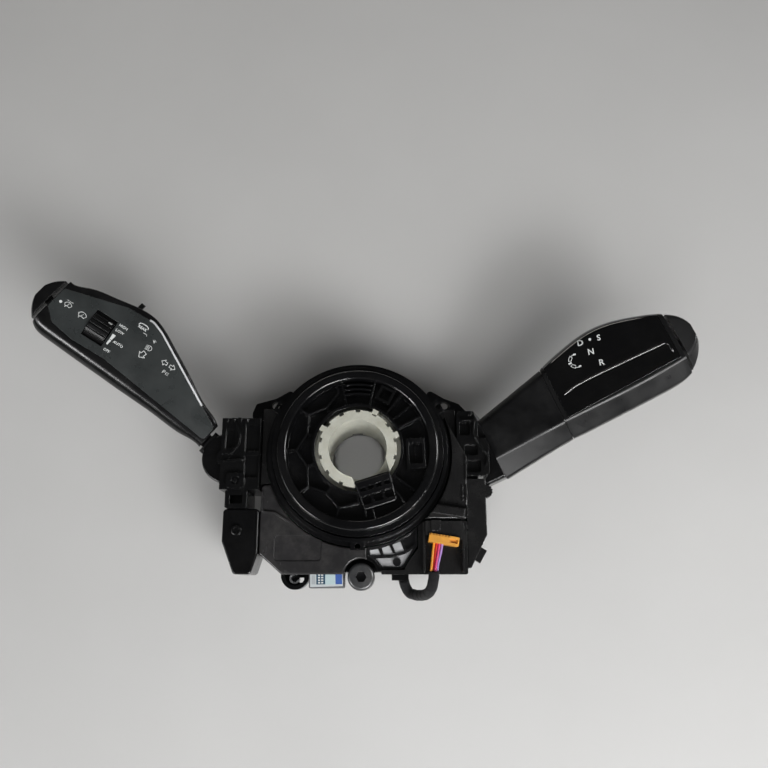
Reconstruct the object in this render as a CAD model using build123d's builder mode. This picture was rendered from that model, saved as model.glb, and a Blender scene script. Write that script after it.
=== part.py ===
"""Steering column combination switch.

A clock spring with its white hub sits on a shallow electronics housing.  A paddle stalk for
indicators, beam flash and wipers leaves on the left, and a gear selector stalk with a turning
grip and a park button leaves on the right.

Frame: +Z runs along the steering column towards the driver, +Y is up as the driver sees it and
+X is to the driver's right.  The origin is on the column axis, in the housing's rear face.
All sizes are in millimetres and degrees.
"""

from build123d import *
import math
import os

# ------------------------------------------------------------------ column axis, radial stack
bore_radius = 18.2  # clear way for the steering shaft
hub_wall = 2.3
hub_gap = 1.2  # turning hub to fixed parts
hub_flange = 4.0  # flange width outside the hub tube
collar_gap = 2.6  # groove between hub flange and rotor collar
collar_wall = 1.6
rim_inner_radius = 44.6
rim_radius = 50.6
rotor_radius = 54.0
rotor_gap = 0.8  # turning rotor to stator wall
stator_wall = 2.2
flange_width = 2.4
seat_wall = 3.5  # wall of the column seat behind the housing

hub_tube_radius = bore_radius + hub_wall
seat_radius = hub_tube_radius + hub_gap
hub_flange_radius = hub_tube_radius + hub_flange
collar_inner_radius = hub_flange_radius + collar_gap
collar_radius = collar_inner_radius + collar_wall
stator_inner_radius = rotor_radius + rotor_gap
stator_radius = stator_inner_radius + stator_wall

# ------------------------------------------------------------------ turning half, details
rim_wall = 1.8
rim_round = 1.5
rim_step = 5.0
collar_drop = 1.0
comb_nodes = 10
comb_start = 109.0
comb_step = 18.0
comb_inner = 33.4
comb_outer = 38.6
comb_wall = 1.1
arc_span = 24.0
arc_radii = (36.0, 39.0, 42.0)
spoke_angles = (28.0, 40.0, 52.0, 76.0, 104.0, 284.0, 312.0, 324.0)
flange_depth = 6.5
notch_count = 14
notch_width = 3.0
notch_depth = 1.4
latch_angles = (65.0, 150.0, 20.0)
latch_width = 3.6
mouth_width = 7.0
mouth_depth = 5.0
horn_angle = -72.5
horn_offset = 3.2  # the block's middle lies this far round from its own radius
horn_inner = 18.6
horn_step = 1.6  # the block's top starts this far outside its foot
horn_foot = 3.0
horn_outer = 38.0
horn_width = 23.3
horn_taper = 1.4
horn_drop = 0.5
horn_pocket = 5.0
horn_round = 0.6
horn_box_length = 5.4
horn_box_width = 5.8
horn_box_step = 7.2
horn_slot_length = 2.6
horn_slot_step = 5.2
horn_wall_reach = 43.6  # the wall beside the block runs out almost to the rim
horn_wall_turn = 12.0
wheel_socket_x = 36.3
wheel_socket_y = -3.0
wheel_socket_turn = 3.0
wheel_socket_width = 11.6
wheel_socket_length = 19.0
wheel_socket_wall = 1.6
wheel_socket_end = 3.0
wheel_socket_height = 8.0
wheel_pin_height = 3.4
upper_socket_x = 17.3
upper_socket_y = 34.8
upper_socket_turn = -26.5
upper_socket_width = 10.0

# ------------------------------------------------------------------ column axis, heights
seat_depth = 12.0  # the column seat, the feet and the main socket end this far behind the housing
floor_thickness = 3.0
housing_height = 32.0
housing_wall = 2.5
stator_floor = 2.5
stator_height = 16.0  # outer wall of the stator over the housing
flange_height = 6.0
flange_thickness = 1.6
latch_count = 3
cable_inner_radius = 40.0
cable_gap = 0.8  # flat cable to the floors above and below it
cable_width = 10.5
web_thickness = 2.0
rim_height = 9.4  # rim above the rotor web
rib_height = 6.0
hub_foot = 8.0  # height of the hub tube's rear end

stator_top = housing_height + stator_floor
web_bottom = stator_top + cable_width + 2 * cable_gap
web_top = web_bottom + web_thickness
rotor_front = web_top + rim_height

# ------------------------------------------------------------------ housing outline
housing_left = -63.0
housing_right = 79.0
housing_top = 30.0
housing_bottom = -74.5
housing_chamfer_x = 15.0
housing_chamfer_y = 11.0
right_chamfer_y = 23.0
corner_radius = 2.5
rear_rib = 3.0
step_x = 63.5  # the right hand switch housing fills the corner outside this line
step_y = -15.0
ear_height = 10.0
ear_thickness = 4.0
ear_spacing = 116.0
ear_y = 37.5
ear_hole_radius = 2.7
bush_wall = 1.0
foot_radius = 4.0
foot_inset = 7.0
ear_inner = 46.0
ear_outer = 74.0
left_ear_shoulder = 71.5
right_ear_shoulder = 68.0
ear_shoulder_rise = 1.25
ear_drop = 5.0
ear_rise = 12.0
bush_stand = 0.6
rear_ribs = 12
rib_run = 25.0
rib_wall = 1.8

# ------------------------------------------------------------------ main socket
socket_x = -22.0
socket_y = -54.0
socket_length = 42.0
socket_width = 16.0
socket_wall = 1.5
key_width = 8.0
key_depth = 2.5
pin_pitch = 3.6
pin_columns = 10
pin_width = 0.8
pin_reach = 7.0
pin_plate = 1.2

# ------------------------------------------------------------------ covers on the housing
cover_thickness = 4.0
cover_wall = 2.0
cover_seam = 0.4
cover_overhang = 1.6
cover_round = 1.2
bay_x = 38.0  # left side of the bay for the jumper lead
bay_y = -43.0
bay_floor = 6.0
tower_x = 69.0  # right side of the tall cover beside the clock spring
tower_slope_x = 54.6
tower_top = 24.0
tower_knee = -2.4
tower_inner_x = 30.0
cover_left_top = -20.0
panel_x = -38.0
panel_y = -60.0
panel_length = 30.0
panel_width = 16.0
panel_recess = 0.6
rail_width = 1.4
rail_height = 6.0
edge_rails = ((68.2, -10.5, 16.0), (65.8, -27.0, 9.5), (68.2, -26.0, 10.0), (68.4, -38.0, 8.0))
edge_rail_width = 0.9
edge_rail_height = 1.2
lug_points = ((-61.6, -24.5), (-61.4, -37.5), (-53.0, -38.1), (-43.5, -43.8))
lug_width = 1.2
lug_height = 1.6
side_x = 82.0
side_gap = 1.0
tab_y = -64.0
tab_turn = -30.0
thumb_wheel_y = -24.0
thumb_wheel_radius = 4.4
thumb_wheel_height = 7.0
thumb_wheel_teeth = 14
thumb_wheel_groove = 0.5
window_x = 6.0
window_low = -73.0
window_corner = (29.6, -71.0)
window_side_y = -58.5
window_thickness = 2.0
window_rib = 1.3
window_band = ((6.0, -65.5), (21.0, -65.2), (30.0, -62.5), (37.4, -57.5))
window_band_round = 6.0
window_bars = ((13.6, -59.6), (20.6, -58.2), (27.4, -55.4))
window_bar_length = 12.0
window_bar_turn = 24.0
window_plug_x = 24.6
window_plug_y = -68.6
window_plug_radius = 2.6
guide_length = 27.4
guide_width = 6.4
guide_turn = -8.4
guide_x = 53.5
guide_y = -37.4
bolt_x = 2.0
bolt_y = -77.5
bolt_radius = 8.5
bolt_dome = 2.0
bolt_seat = 22.0
bolt_head = 13.0
bolt_shank = 4.0
bolt_tail = 6.0
hex_radius = 3.5
arch_gap = 2.5
right_cover_height = 14.0
guide_height = 4.0
clip_width = 9.0
clip_depth = 5.0
clip_height = 9.0
clip_hole = 1.8
clip_angle = 150.0

# ------------------------------------------------------------------ steering angle sensor
gear_module = 1.0
main_teeth = 54
gear_a_teeth = 18
gear_b_teeth = 20
gear_backlash = 0.35
gear_width = 6.0
gear_height = 17.7  # underside of the three gears
gear_end_gap = 0.1
gear_pin_radius = 2.0
gear_pin_step = 1.2
gear_shoulder_radius = 5.0
running_gap = 0.06
gear_a_angle = 240.0  # whole numbers of main teeth from +X
gear_b_angle = 300.0
board_height = 11.0
board_thickness = 1.6
board_gap = 0.6
chip_height = 1.4
capacitor_height = 4.0

# ------------------------------------------------------------------ left stalk
left_pivot = Vector(-85.0, -3.5, 26.0)
left_rise = 40.0
left_lean = 16.5
barrel_radius = 16.0
barrel_wall = 2.6
barrel_half = 15.0
barrel_gap = 0.5
trunnion_radius = 2.5
core_width = 9.0
core_height = 10.0
core_tail = 8.0
core_root = 36.0  # the core reaches this far into the paddle
core_gap = 0.4
snout_reach = 20.4
snout_width = 16.0
snout_height = 19.0
flash_angle = 5.0
flash_pin_radius = 2.0
left_plate = 3.0
left_wall = 2.5
left_mouth = -88.0  # open left side of the housing
left_top = 22.0
left_bottom = -24.0
cluster_height = 2.4
cluster_rib = 1.2
left_recess = ((-68.2, 9.0, 9.0, 17.0), (-68.2, -9.5, 9.0, 14.0), (-82.4, 8.5, 6.0, 12.0))
left_recess_depth = 2.4
left_s_rib = ((-78.9, 19.0), (-76.0, 10.6), (-77.0, 4.1), (-81.2, -1.2))
left_ledge = ((-86.0, -6.2), (-74.0, -5.2))
left_posts = ((-84.8, 20.4), (-80.6, 20.6), (-76.4, 20.8), (-72.2, 20.4))
left_post_length = 2.2
left_block_x = -77.6
left_block_y = -18.6
left_block_length = 11.6
left_block_width = 9.6
left_block_hole = 2.6
left_fence = 1.6  # height of the low wall between the left housing and the clock spring
left_face = 7.8  # height of the paddle's face over the pivot
shell_wall = 2.8
face_depth = 1.4
seam = 0.15
# distance from the pivot, lower edge, upper edge, thickness, flank radius
paddle_stations = (
    (22.0, -6.0, 12.0, 15.0, 5.0),
    (36.0, -7.5, 16.3, 16.0, 6.0),
    (56.0, -9.3, 23.9, 18.0, 7.0),
    (76.0, -11.3, 31.3, 20.0, 8.0),
    (89.0, -12.7, 35.9, 21.0, 8.5),
    (98.0, -13.5, 37.5, 21.5, 8.5),
    (108.0, -14.5, 36.3, 22.0, 8.5),
    (126.0, -16.2, 30.3, 22.0, 8.5),
    (141.0, -17.5, 24.3, 20.0, 8.3),
    (152.0, -15.3, 19.5, 17.0, 7.0),
    (158.0, -9.7, 14.3, 13.0, 5.5),
    (161.5, -2.7, 7.8, 8.0, 2.8),
)
upper_front_round = 1.5
upper_back_round = 4.0
least_round = 0.6
shell_end = 153.0
cap_gap = 1.5
cap_travel = 1.2
cap_stem_radius = 3.0
cap_stem_length = 16.0
end_wall = 3.0
roller_distance = 119.3
roller_y = 9.4
roller_turn = 9.0  # the roller's axis is turned this far from the stalk's
roller_drop = 7.9  # roller axis below the face
roller_radius = 10.5
roller_length = 13.6
roller_gap = 0.6
roller_grooves = 20
groove_radius = 0.6
roller_pin_radius = 2.0
rib_thickness = 2.5
toggle_distance = 111.8
toggle_y = 29.4
toggle_drop = 13.0
toggle_width = 3.0
toggle_reach = 9.0
toggle_hub_radius = 2.6
toggle_pin_radius = 1.2
toggle_gap = 0.4
toggle_thickness = 3.4
toggle_slot = 8.6
trim_width = 1.2
trim_rise = 0.2
window_length = 18.6
stem_y = 2.0
stem_z = -1.0
plate_round = 6.0
# outline of the face plate, as places along and across the stalk
plate_upper_edge = ((-23.0, 9.2), (-89.0, 33.2), (-97.0, 34.8), (-115.0, 31.2))
trim_edge = ((-38.4, 14.8), (-89.0, 33.2), (-97.0, 34.8), (-100.0, 34.2))
plate_tip = ((-151.5, 13.8), (-151.5, -1.0))
plate_lower_edge = ((-142.5, -7.2), (-127.0, -7.4), (-104.0, -3.4), (-23.0, -1.0))

# ------------------------------------------------------------------ right stalk
right_base = Vector(83.3, 2.3, 38.0)
right_rise = 23.6
right_lean = 16.1
sleeve_start = 3.0
sleeve_end = 52.5
grip_gap = 0.6
grip_end = 136.4
park_gap = 1.6
# distance from the base, lower edge, crease, upper edge, thickness
sleeve_stations = (
    (sleeve_start, -21.6, -7.3, 20.6, 25.0),
    (28.0, -18.6, -6.0, 26.6, 25.5),
    (sleeve_end, -16.0, -5.0, 32.6, 26.0),
)
grip_stations = (
    (sleeve_end + grip_gap, -15.9, -4.4, 32.9, 26.0),
    (67.0, -15.7, -4.2, 37.6, 26.5),
    (84.0, -15.1, -4.0, 41.6, 27.0),
    (100.0, -14.5, -3.6, 42.2, 27.0),
    (116.0, -13.8, -2.6, 38.9, 26.5),
    (129.0, -12.6, -1.4, 34.6, 25.0),
    (grip_end, -10.4, -0.6, 31.0, 23.5),
)
park_stations = (
    (grip_end + park_gap, -8.6, 0.0, 29.6, 22.5),
    (143.5, -3.4, 3.0, 25.6, 19.0),
    (148.0, 5.0, 8.5, 18.0, 12.0),
)
# shares of the section's thickness, and fixed rounds
bevel_share = 0.36
back_share = 0.28
front_share = 0.22
crease_round = 4.0
bevel_round = 3.0
right_face = 84.0
right_top = 27.0
right_low = 4.0
right_high = 43.0
right_recess = ((68.6, 15.5, 6.6, 9.0), (79.5, 14.0, 5.0, 9.5), (72.5, 1.5, 8.5, 7.0), (74.0, -9.0, 9.0, 8.0))
right_recess_depth = 4.0
right_s_rib = ((75.4, 24.5), (73.9, 13.0), (75.2, 9.6), (78.2, 5.8), (80.0, 1.2), (82.2, -1.0))
right_ledge = ((66.5, 20.6), (82.5, 20.6))
right_post_places = ((72.2, 25.4), (75.8, 25.4))
right_clip = ((82.4, -0.6), (82.6, -5.4), (81.4, -9.0))
neck_inset = 0.8
neck_length = 16.0
sleeve_wall = 2.4
grip_wall = 2.2
bearing_distance = 72.0
panel_thickness = 2.0
panel_low = -3.6  # lower edge of the gloss panel
panel_rise = 4.2
panel_start = 55.5
panel_end = 133.6
panel_depth = 9.0
tube_y = 8.5
tube_drop = 12.0
tube_radius = 7.0
tube_wall = 2.0
tube_length = 76.0
park_stem_radius = 4.0
park_stem_length = 12.0

# ------------------------------------------------------------------ brackets beside the left housing
slot_length = 11.5
slot_right = -70.5
slot_inset = 3.5
slot_depth = 8.0
bracket_low = 10.0
bracket_knee = -56.0
screw_x = -76.7
screw_y = -49.0
screw_radius = 2.0
screw_boss_radius = 4.5
screw_head_radius = 3.4
screw_head = 1.8

# ------------------------------------------------------------------ jumper lead
plug_x = 53.6
plug_y = -55.4
plug_turn = -9.5
plug_width = 18.8
plug_length = 5.6
plug_lip = 1.6
comb_teeth = 7
comb_tooth = 0.9
comb_pitch = 1.9
comb_depth = 1.0
comb_offset = -3.0
plug_slot_x = 6.2
plug_slot_length = 4.6
plug_slot_width = 2.4
strip_x = 48.6
strip_width = 5.6
strip_height = 1.4
socket_height = 8.0
lead_height = 44.0
wire_radius = 0.75
wire_colours = ("orange", "red", "magenta", "violet")
wire_spread = 1.7
wire_offset = -3.1
bundle_spread = 1.3
bundle_height = 1.8
wire_run = 4.0
loom_radius = 3.5
loom_route = (
    (47.4, -74.4, lead_height),
    (46.6, -82.5, 43.0),
    (42.0, -90.5, 35.5),
    (34.0, -92.0, 24.0),
    (27.0, -88.5, 13.0),
    (27.0, -79.5, 13.0),
)
loom_socket_width = 12.0
loom_socket_height = 11.0

# ------------------------------------------------------------------ fittings under the lower edge
side_socket_x = -20.0
side_socket_length = 22.0
side_socket_reach = 10.0
side_socket_height = 22.0
side_socket_low = 8.0
hook_x = -40.4
hook_radius = 9.1
hook_wall = 2.6
hook_drop = 1.8
hook_low = 14.0
hook_height = 10.0
hook_floor = 2.0
hook_slot = 3.0
hook_clip_x = -41.0
hook_clip_y = -78.4
hook_clip_radius = 3.3
hook_clip_wall = 1.1
hook_clip_height = 6.0
hook_clip_mouth = 3.4
hook_clip_turn = 25.0


# ------------------------------------------------------------------ frames of the two stalks
def outward(rise, lean, side):
    """Direction of a stalk: side is -1 on the left and 1 on the right."""
    flat = math.cos(math.radians(lean))
    return Vector(
        side * flat * math.cos(math.radians(rise)),
        flat * math.sin(math.radians(rise)),
        math.sin(math.radians(lean)),
    )


def face_normal(direction):
    """The direction nearest to +Z that is square to the stalk."""
    return (Vector(0, 0, 1) - direction * direction.Z).normalized()


left_out = outward(left_rise, left_lean, -1)
right_out = outward(right_rise, right_lean, 1)
# On the left plane x runs back towards the pivot; on the right plane x runs outwards.
left_plane = Plane(origin=left_pivot, x_dir=-left_out, z_dir=face_normal(left_out))
right_plane = Plane(origin=right_base, x_dir=right_out, z_dir=face_normal(right_out))


def across(plane, x, y=0.0, z=0.0):
    """A plane square to a stalk at x, with its own x up the stalk and its own y out of the face."""
    return Plane(origin=plane.from_local_coords((x, y, z)), x_dir=plane.y_dir, z_dir=plane.x_dir)


def sidewise(plane, x, y=0.0, z=0.0):
    """A plane whose normal is the stalk's own up direction."""
    return Plane(origin=plane.from_local_coords((x, y, z)), x_dir=plane.x_dir, z_dir=plane.y_dir)


# ------------------------------------------------------------------ lofted forms
def paddle_form(inset, first=0, last=len(paddle_stations)):
    """The left paddle's outer form, or the same form inset on every side."""
    with BuildPart() as form:
        for distance, low, high, thick, flank in paddle_stations[first:last]:
            bottom = left_face - thick + inset
            top = left_face - inset
            with BuildSketch(across(left_plane, -distance)):
                with BuildLine():
                    FilletPolyline(
                        (low + inset, top),
                        (high - inset, top),
                        (high - inset, bottom),
                        (low + inset, bottom),
                        radius=[
                            max(flank - inset, least_round),
                            max(upper_front_round - inset, least_round),
                            max(upper_back_round - inset, least_round),
                            max(flank - inset, least_round),
                        ],
                        close=True,
                    )
                make_face()
        loft()
    return form.part


def selector_form(stations, inset):
    """A length of the right stalk: flat face, creased lower bevel and rounded back."""
    with BuildPart() as form:
        for distance, low, crease, high, thick in stations:
            bevel_drop = bevel_share * thick
            round_back = back_share * thick
            with BuildSketch(across(right_plane, distance)):
                with BuildLine():
                    FilletPolyline(
                        (crease, -inset),
                        (high - inset, -inset),
                        (high - inset, inset - thick),
                        (low + inset, inset - thick),
                        (low + inset, -inset - bevel_drop),
                        radius=[
                            crease_round,
                            max(front_share * thick - inset, least_round),
                            max(round_back - inset, least_round),
                            max(round_back - inset, least_round),
                            max(bevel_round - inset, least_round),
                        ],
                        close=True,
                    )
                make_face()
        loft()
    return form.part


# ------------------------------------------------------------------ outlines used by several pieces
def housing_outline(inset=0.0):
    """The housing's outline: a chamfered box with a drum behind the clock spring."""
    with BuildSketch() as outline:
        with BuildLine():
            FilletPolyline(
                (housing_left, housing_top),
                (housing_left, housing_bottom + housing_chamfer_y),
                (housing_left + housing_chamfer_x, housing_bottom),
                (tower_x, housing_bottom),
                (housing_right, housing_bottom + right_chamfer_y),
                (housing_right, step_y),
                (step_x, step_y),
                (step_x, housing_top),
                radius=corner_radius,
                close=True,
            )
        make_face()
        Circle(stator_radius)
        if inset:
            offset(amount=-inset)
    return outline.sketch


def involute_half_angle(radius, teeth):
    """Half the angle that a tooth spans at a radius, for a 20 degree gear with its backlash."""
    pitch_radius = gear_module * teeth / 2
    pressure = math.radians(20)
    there = math.acos(min(1.0, pitch_radius * math.cos(pressure) / radius))
    half = math.pi / (2 * teeth) - gear_backlash / (4 * pitch_radius)
    return half + (math.tan(pressure) - pressure) - (math.tan(there) - there)


def gear_outline(teeth, centre=(0, 0), first_tooth=0.0):
    """A spur gear's outline with involute flanks."""
    pitch_radius = gear_module * teeth / 2
    root_radius = pitch_radius - 1.2 * gear_module
    tip_radius = pitch_radius + 0.9 * gear_module
    base_radius = max(pitch_radius * math.cos(math.radians(20)), root_radius + 0.1)
    flank = (root_radius, base_radius, pitch_radius, tip_radius)
    points = []
    for tooth in range(teeth):
        middle = math.radians(first_tooth + 360 * tooth / teeth)
        for side in (-1, 1):
            for radius in flank[::-side]:
                angle = middle + side * involute_half_angle(max(radius, base_radius), teeth)
                points.append(
                    (centre[0] + radius * math.cos(angle), centre[1] + radius * math.sin(angle))
                )
    with BuildSketch() as outline:
        with BuildLine():
            Polyline(*points, close=True)
        make_face()
    return outline.sketch


os.makedirs("parts", exist_ok=True)

# ------------------------------------------------------------------ rear housing
full_outline = housing_outline()
inner_outline = housing_outline(housing_wall)
gear_a_distance = gear_module * (main_teeth + gear_a_teeth) / 2
gear_b_distance = gear_module * (main_teeth + gear_b_teeth) / 2
gear_a_place = Vector(gear_a_distance, 0).rotate(Axis.Z, gear_a_angle)
gear_b_place = Vector(gear_b_distance, 0).rotate(Axis.Z, gear_b_angle)
gear_places = [gear_a_place, gear_b_place]
gear_shelf = gear_height - gear_end_gap  # the gears turn this far over their posts' shoulders
foot_places = [
    (housing_left + foot_inset, housing_top - foot_inset),
    (step_x - foot_inset, housing_top - foot_inset),
    (housing_left + foot_inset, housing_bottom + housing_chamfer_y + foot_inset),
    (tower_x - foot_inset, housing_bottom + foot_inset),
]

with BuildPart() as rear_housing:
    with BuildSketch():
        add(full_outline)
    extrude(amount=housing_height)
    with BuildSketch(Plane.XY.offset(floor_thickness)):
        add(inner_outline)
    extrude(amount=housing_height, mode=Mode.SUBTRACT)
    # column seat behind the floor, with ribs running out from it
    with BuildSketch(Plane.XY.offset(-rear_rib)):
        with PolarLocations(seat_radius + (seat_wall + rib_run) / 2, rear_ribs):
            Rectangle(rib_run, rib_wall)
    extrude(amount=rear_rib)
    with BuildSketch(Plane.XY.offset(-seat_depth)):
        Circle(seat_radius + seat_wall)
        with Locations(*foot_places):
            Circle(foot_radius)
    extrude(amount=seat_depth + floor_thickness)
    # board posts and the stepped axles of the two sensor gears
    with BuildSketch():
        with Locations(*foot_places):
            Circle(foot_radius)
        with Locations(*gear_places):
            Circle(gear_shoulder_radius)
    extrude(amount=board_height)
    with BuildSketch():
        with Locations(*gear_places):
            Circle(gear_pin_radius + gear_pin_step)
    extrude(amount=gear_shelf)
    with BuildSketch():
        with Locations(*gear_places):
            Circle(gear_pin_radius)
    extrude(amount=gear_height + gear_width + gear_pin_step)
    # ears with holes for the column screws
    for side, shoulder in ((-1, left_ear_shoulder), (1, right_ear_shoulder)):
        with BuildSketch(Plane.XY.offset(ear_height)):
            with BuildLine():
                FilletPolyline(
                    (side * ear_inner, housing_top - housing_wall),
                    (side * ear_outer, housing_top - housing_wall),
                    (side * ear_outer, ear_y - ear_drop),
                    (side * shoulder, ear_y + ear_shoulder_rise),
                    (side * ear_spacing / 2, ear_y + ear_drop),
                    (side * ear_inner, ear_y + ear_rise),
                    radius=corner_radius,
                    close=True,
                )
            make_face()
            Circle(stator_radius - housing_wall, mode=Mode.SUBTRACT)
        extrude(amount=ear_thickness)
    with BuildSketch(Plane.XY.offset(ear_height)):
        with Locations((-ear_spacing / 2, ear_y), (ear_spacing / 2, ear_y)):
            Circle(ear_hole_radius + bush_wall)
    extrude(amount=ear_thickness, mode=Mode.SUBTRACT)
    # way through for the steering shaft, and the pocket for the clamp bolt
    with BuildSketch(Plane.XY.offset(-seat_depth)):
        Circle(seat_radius)
    extrude(amount=seat_depth + floor_thickness, mode=Mode.SUBTRACT)
    with BuildSketch():
        with Locations((bolt_x, bolt_y)):
            Circle(bolt_radius)
    extrude(amount=bolt_seat)
    with BuildSketch():
        with Locations((bolt_x, bolt_y)):
            Circle(bolt_shank)
    extrude(amount=bolt_seat, mode=Mode.SUBTRACT)
    with BuildSketch(Plane.XY.offset(bolt_seat)):
        with Locations((bolt_x, bolt_y)):
            Circle(bolt_radius + arch_gap)
    extrude(amount=housing_height - bolt_seat, mode=Mode.SUBTRACT)
    with BuildSketch(Plane.XY.offset(floor_thickness)):
        with Locations((bolt_x, bolt_y)):
            Circle(bolt_radius + arch_gap + housing_wall)
            Circle(bolt_radius + arch_gap, mode=Mode.SUBTRACT)
        with Locations((bolt_x, housing_bottom - bolt_radius - arch_gap)):
            Rectangle(6 * bolt_radius, 2 * (bolt_radius + arch_gap), mode=Mode.SUBTRACT)
    extrude(amount=housing_height - floor_thickness)
rear_housing.part.label = "rear_housing"
export_step(rear_housing.part, "parts/rear_housing.step")

with BuildPart() as left_ear_bush:
    with BuildSketch(Plane.XY.offset(ear_height)):
        with Locations((-ear_spacing / 2, ear_y)):
            Circle(ear_hole_radius + bush_wall)
            Circle(ear_hole_radius, mode=Mode.SUBTRACT)
    extrude(amount=ear_thickness + bush_stand)
left_ear_bush.part.label = "left_ear_bush"
export_step(left_ear_bush.part, "parts/left_ear_bush.step")

right_ear_bush = mirror(left_ear_bush.part, about=Plane.YZ)
right_ear_bush.label = "right_ear_bush"
export_step(right_ear_bush, "parts/right_ear_bush.step")

# ------------------------------------------------------------------ clamp bolt
with BuildPart() as clamp_bolt:
    with BuildSketch(Plane.XY.offset(bolt_seat)):
        with Locations((bolt_x, bolt_y)):
            Circle(bolt_radius)
    extrude(amount=bolt_head)
    fillet(clamp_bolt.edges().group_by(Axis.Z)[-1], bolt_dome)
    with BuildSketch(Plane.XY.offset(-bolt_tail)):
        with Locations((bolt_x, bolt_y)):
            Circle(bolt_shank)
    extrude(amount=bolt_tail + bolt_seat)
    with BuildSketch(Plane.XY.offset(bolt_seat + bolt_head)):
        with Locations((bolt_x, bolt_y)):
            RegularPolygon(hex_radius, 6)
    extrude(amount=-bolt_head / 2, mode=Mode.SUBTRACT)
clamp_bolt.part.label = "clamp_bolt"
export_step(clamp_bolt.part, "parts/clamp_bolt.step")

# ------------------------------------------------------------------ circuit board
board_outline = housing_outline(housing_wall + board_gap)
with BuildPart() as circuit_board:
    with BuildSketch(Plane.XY.offset(board_height)):
        add(board_outline)
        Circle(seat_radius, mode=Mode.SUBTRACT)
        with Locations(*gear_places):
            Circle(gear_pin_radius + gear_pin_step + board_gap, mode=Mode.SUBTRACT)
        with Locations((bolt_x, bolt_y)):
            Circle(bolt_radius + arch_gap + housing_wall + board_gap, mode=Mode.SUBTRACT)
    extrude(amount=board_thickness)
    with BuildSketch(Plane.XY.offset(board_height + board_thickness)):
        with Locations((-43, -20)):
            Rectangle(14, 14)
        with Locations((-44, 6), (-30, -54), (46, -34), (54, -60)):
            Rectangle(8, 6)
        with GridLocations(9, 0, 3, 1):
            with Locations((0, -60)):
                Rectangle(5, 7)
    extrude(amount=chip_height)
    with BuildSketch(Plane.XY.offset(board_height + board_thickness)):
        with Locations((45, 12), (-50, -42)):
            Circle(4)
    extrude(amount=capacitor_height)
circuit_board.part.label = "circuit_board"
export_step(circuit_board.part, "parts/circuit_board.step")

# ------------------------------------------------------------------ main socket behind the housing
with BuildPart() as main_socket:
    with BuildSketch(Plane.XY.offset(-seat_depth)):
        with Locations((socket_x, socket_y)):
            RectangleRounded(socket_length, socket_width, corner_radius)
            RectangleRounded(
                socket_length - 2 * socket_wall,
                socket_width - 2 * socket_wall,
                corner_radius - socket_wall,
                mode=Mode.SUBTRACT,
            )
    extrude(amount=seat_depth)
    with BuildSketch(Plane.XY.offset(-socket_wall)):
        with Locations((socket_x, socket_y)):
            Rectangle(socket_length - 2 * socket_wall, socket_width - 2 * socket_wall)
    extrude(amount=socket_wall)
    with BuildSketch(Plane.XY.offset(-seat_depth)):
        with Locations((socket_x, socket_y - socket_width / 2)):
            Rectangle(key_width, key_depth * 2)
    extrude(amount=seat_depth - rear_rib, mode=Mode.SUBTRACT)
main_socket.part.label = "main_socket"
export_step(main_socket.part, "parts/main_socket.step")

with BuildPart() as main_pins:
    with BuildSketch(Plane.XY.offset(-pin_reach)):
        with Locations((socket_x, socket_y)):
            with GridLocations(pin_pitch, pin_pitch * 1.5, pin_columns, 2):
                Rectangle(pin_width, pin_width)
    extrude(amount=pin_reach - socket_wall)
    with BuildSketch(Plane.XY.offset(-socket_wall - pin_plate)):
        with Locations((socket_x, socket_y)):
            Rectangle(pin_pitch * pin_columns, pin_pitch * 2.5)
    extrude(amount=pin_plate)
main_pins.part.label = "main_pins"
export_step(main_pins.part, "parts/main_pins.step")

# ------------------------------------------------------------------ clock spring, fixed half
with BuildPart() as stator:
    with BuildSketch(Plane.XY.offset(housing_height)):
        Circle(stator_radius)
        Circle(seat_radius, mode=Mode.SUBTRACT)
    extrude(amount=stator_floor)
    with BuildSketch(Plane.XY.offset(housing_height)):
        Circle(stator_radius)
        Circle(stator_inner_radius, mode=Mode.SUBTRACT)
    extrude(amount=stator_height)
    with BuildSketch(Plane.XY.offset(housing_height + flange_height)):
        Circle(stator_radius + flange_width)
        Circle(stator_inner_radius, mode=Mode.SUBTRACT)
    extrude(amount=flange_thickness)
    # retaining bosses over the sensor gears
    with BuildSketch(Plane.XY.offset(gear_height + gear_width + gear_end_gap)):
        with Locations(*gear_places):
            Circle(gear_shoulder_radius)
            Circle(gear_pin_radius + gear_pin_step, mode=Mode.SUBTRACT)
    extrude(amount=housing_height - gear_height - gear_width - gear_end_gap)
    # latches round the wall
    with BuildSketch(Plane.XY.offset(housing_height + flange_height)):
        with PolarLocations(stator_radius + clip_depth / 2 - cover_seam, latch_count, clip_angle):
            Rectangle(clip_depth, clip_width)
        Circle(stator_inner_radius, mode=Mode.SUBTRACT)
    extrude(amount=clip_height - stator_floor)
    with BuildSketch(Plane.XY.offset(housing_height + flange_height)):
        with PolarLocations(stator_radius + clip_depth / 2, latch_count, clip_angle):
            Circle(clip_hole)
    extrude(amount=clip_height, mode=Mode.SUBTRACT)
stator.part.label = "stator"
export_step(stator.part, "parts/stator.step")

with BuildPart() as flat_cable:
    with BuildSketch(Plane.XY.offset(stator_top + cable_gap)):
        Circle(stator_inner_radius - cable_gap)
        Circle(cable_inner_radius, mode=Mode.SUBTRACT)
    extrude(amount=cable_width)
flat_cable.part.label = "flat_cable"
export_step(flat_cable.part, "parts/flat_cable.step")

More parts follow.
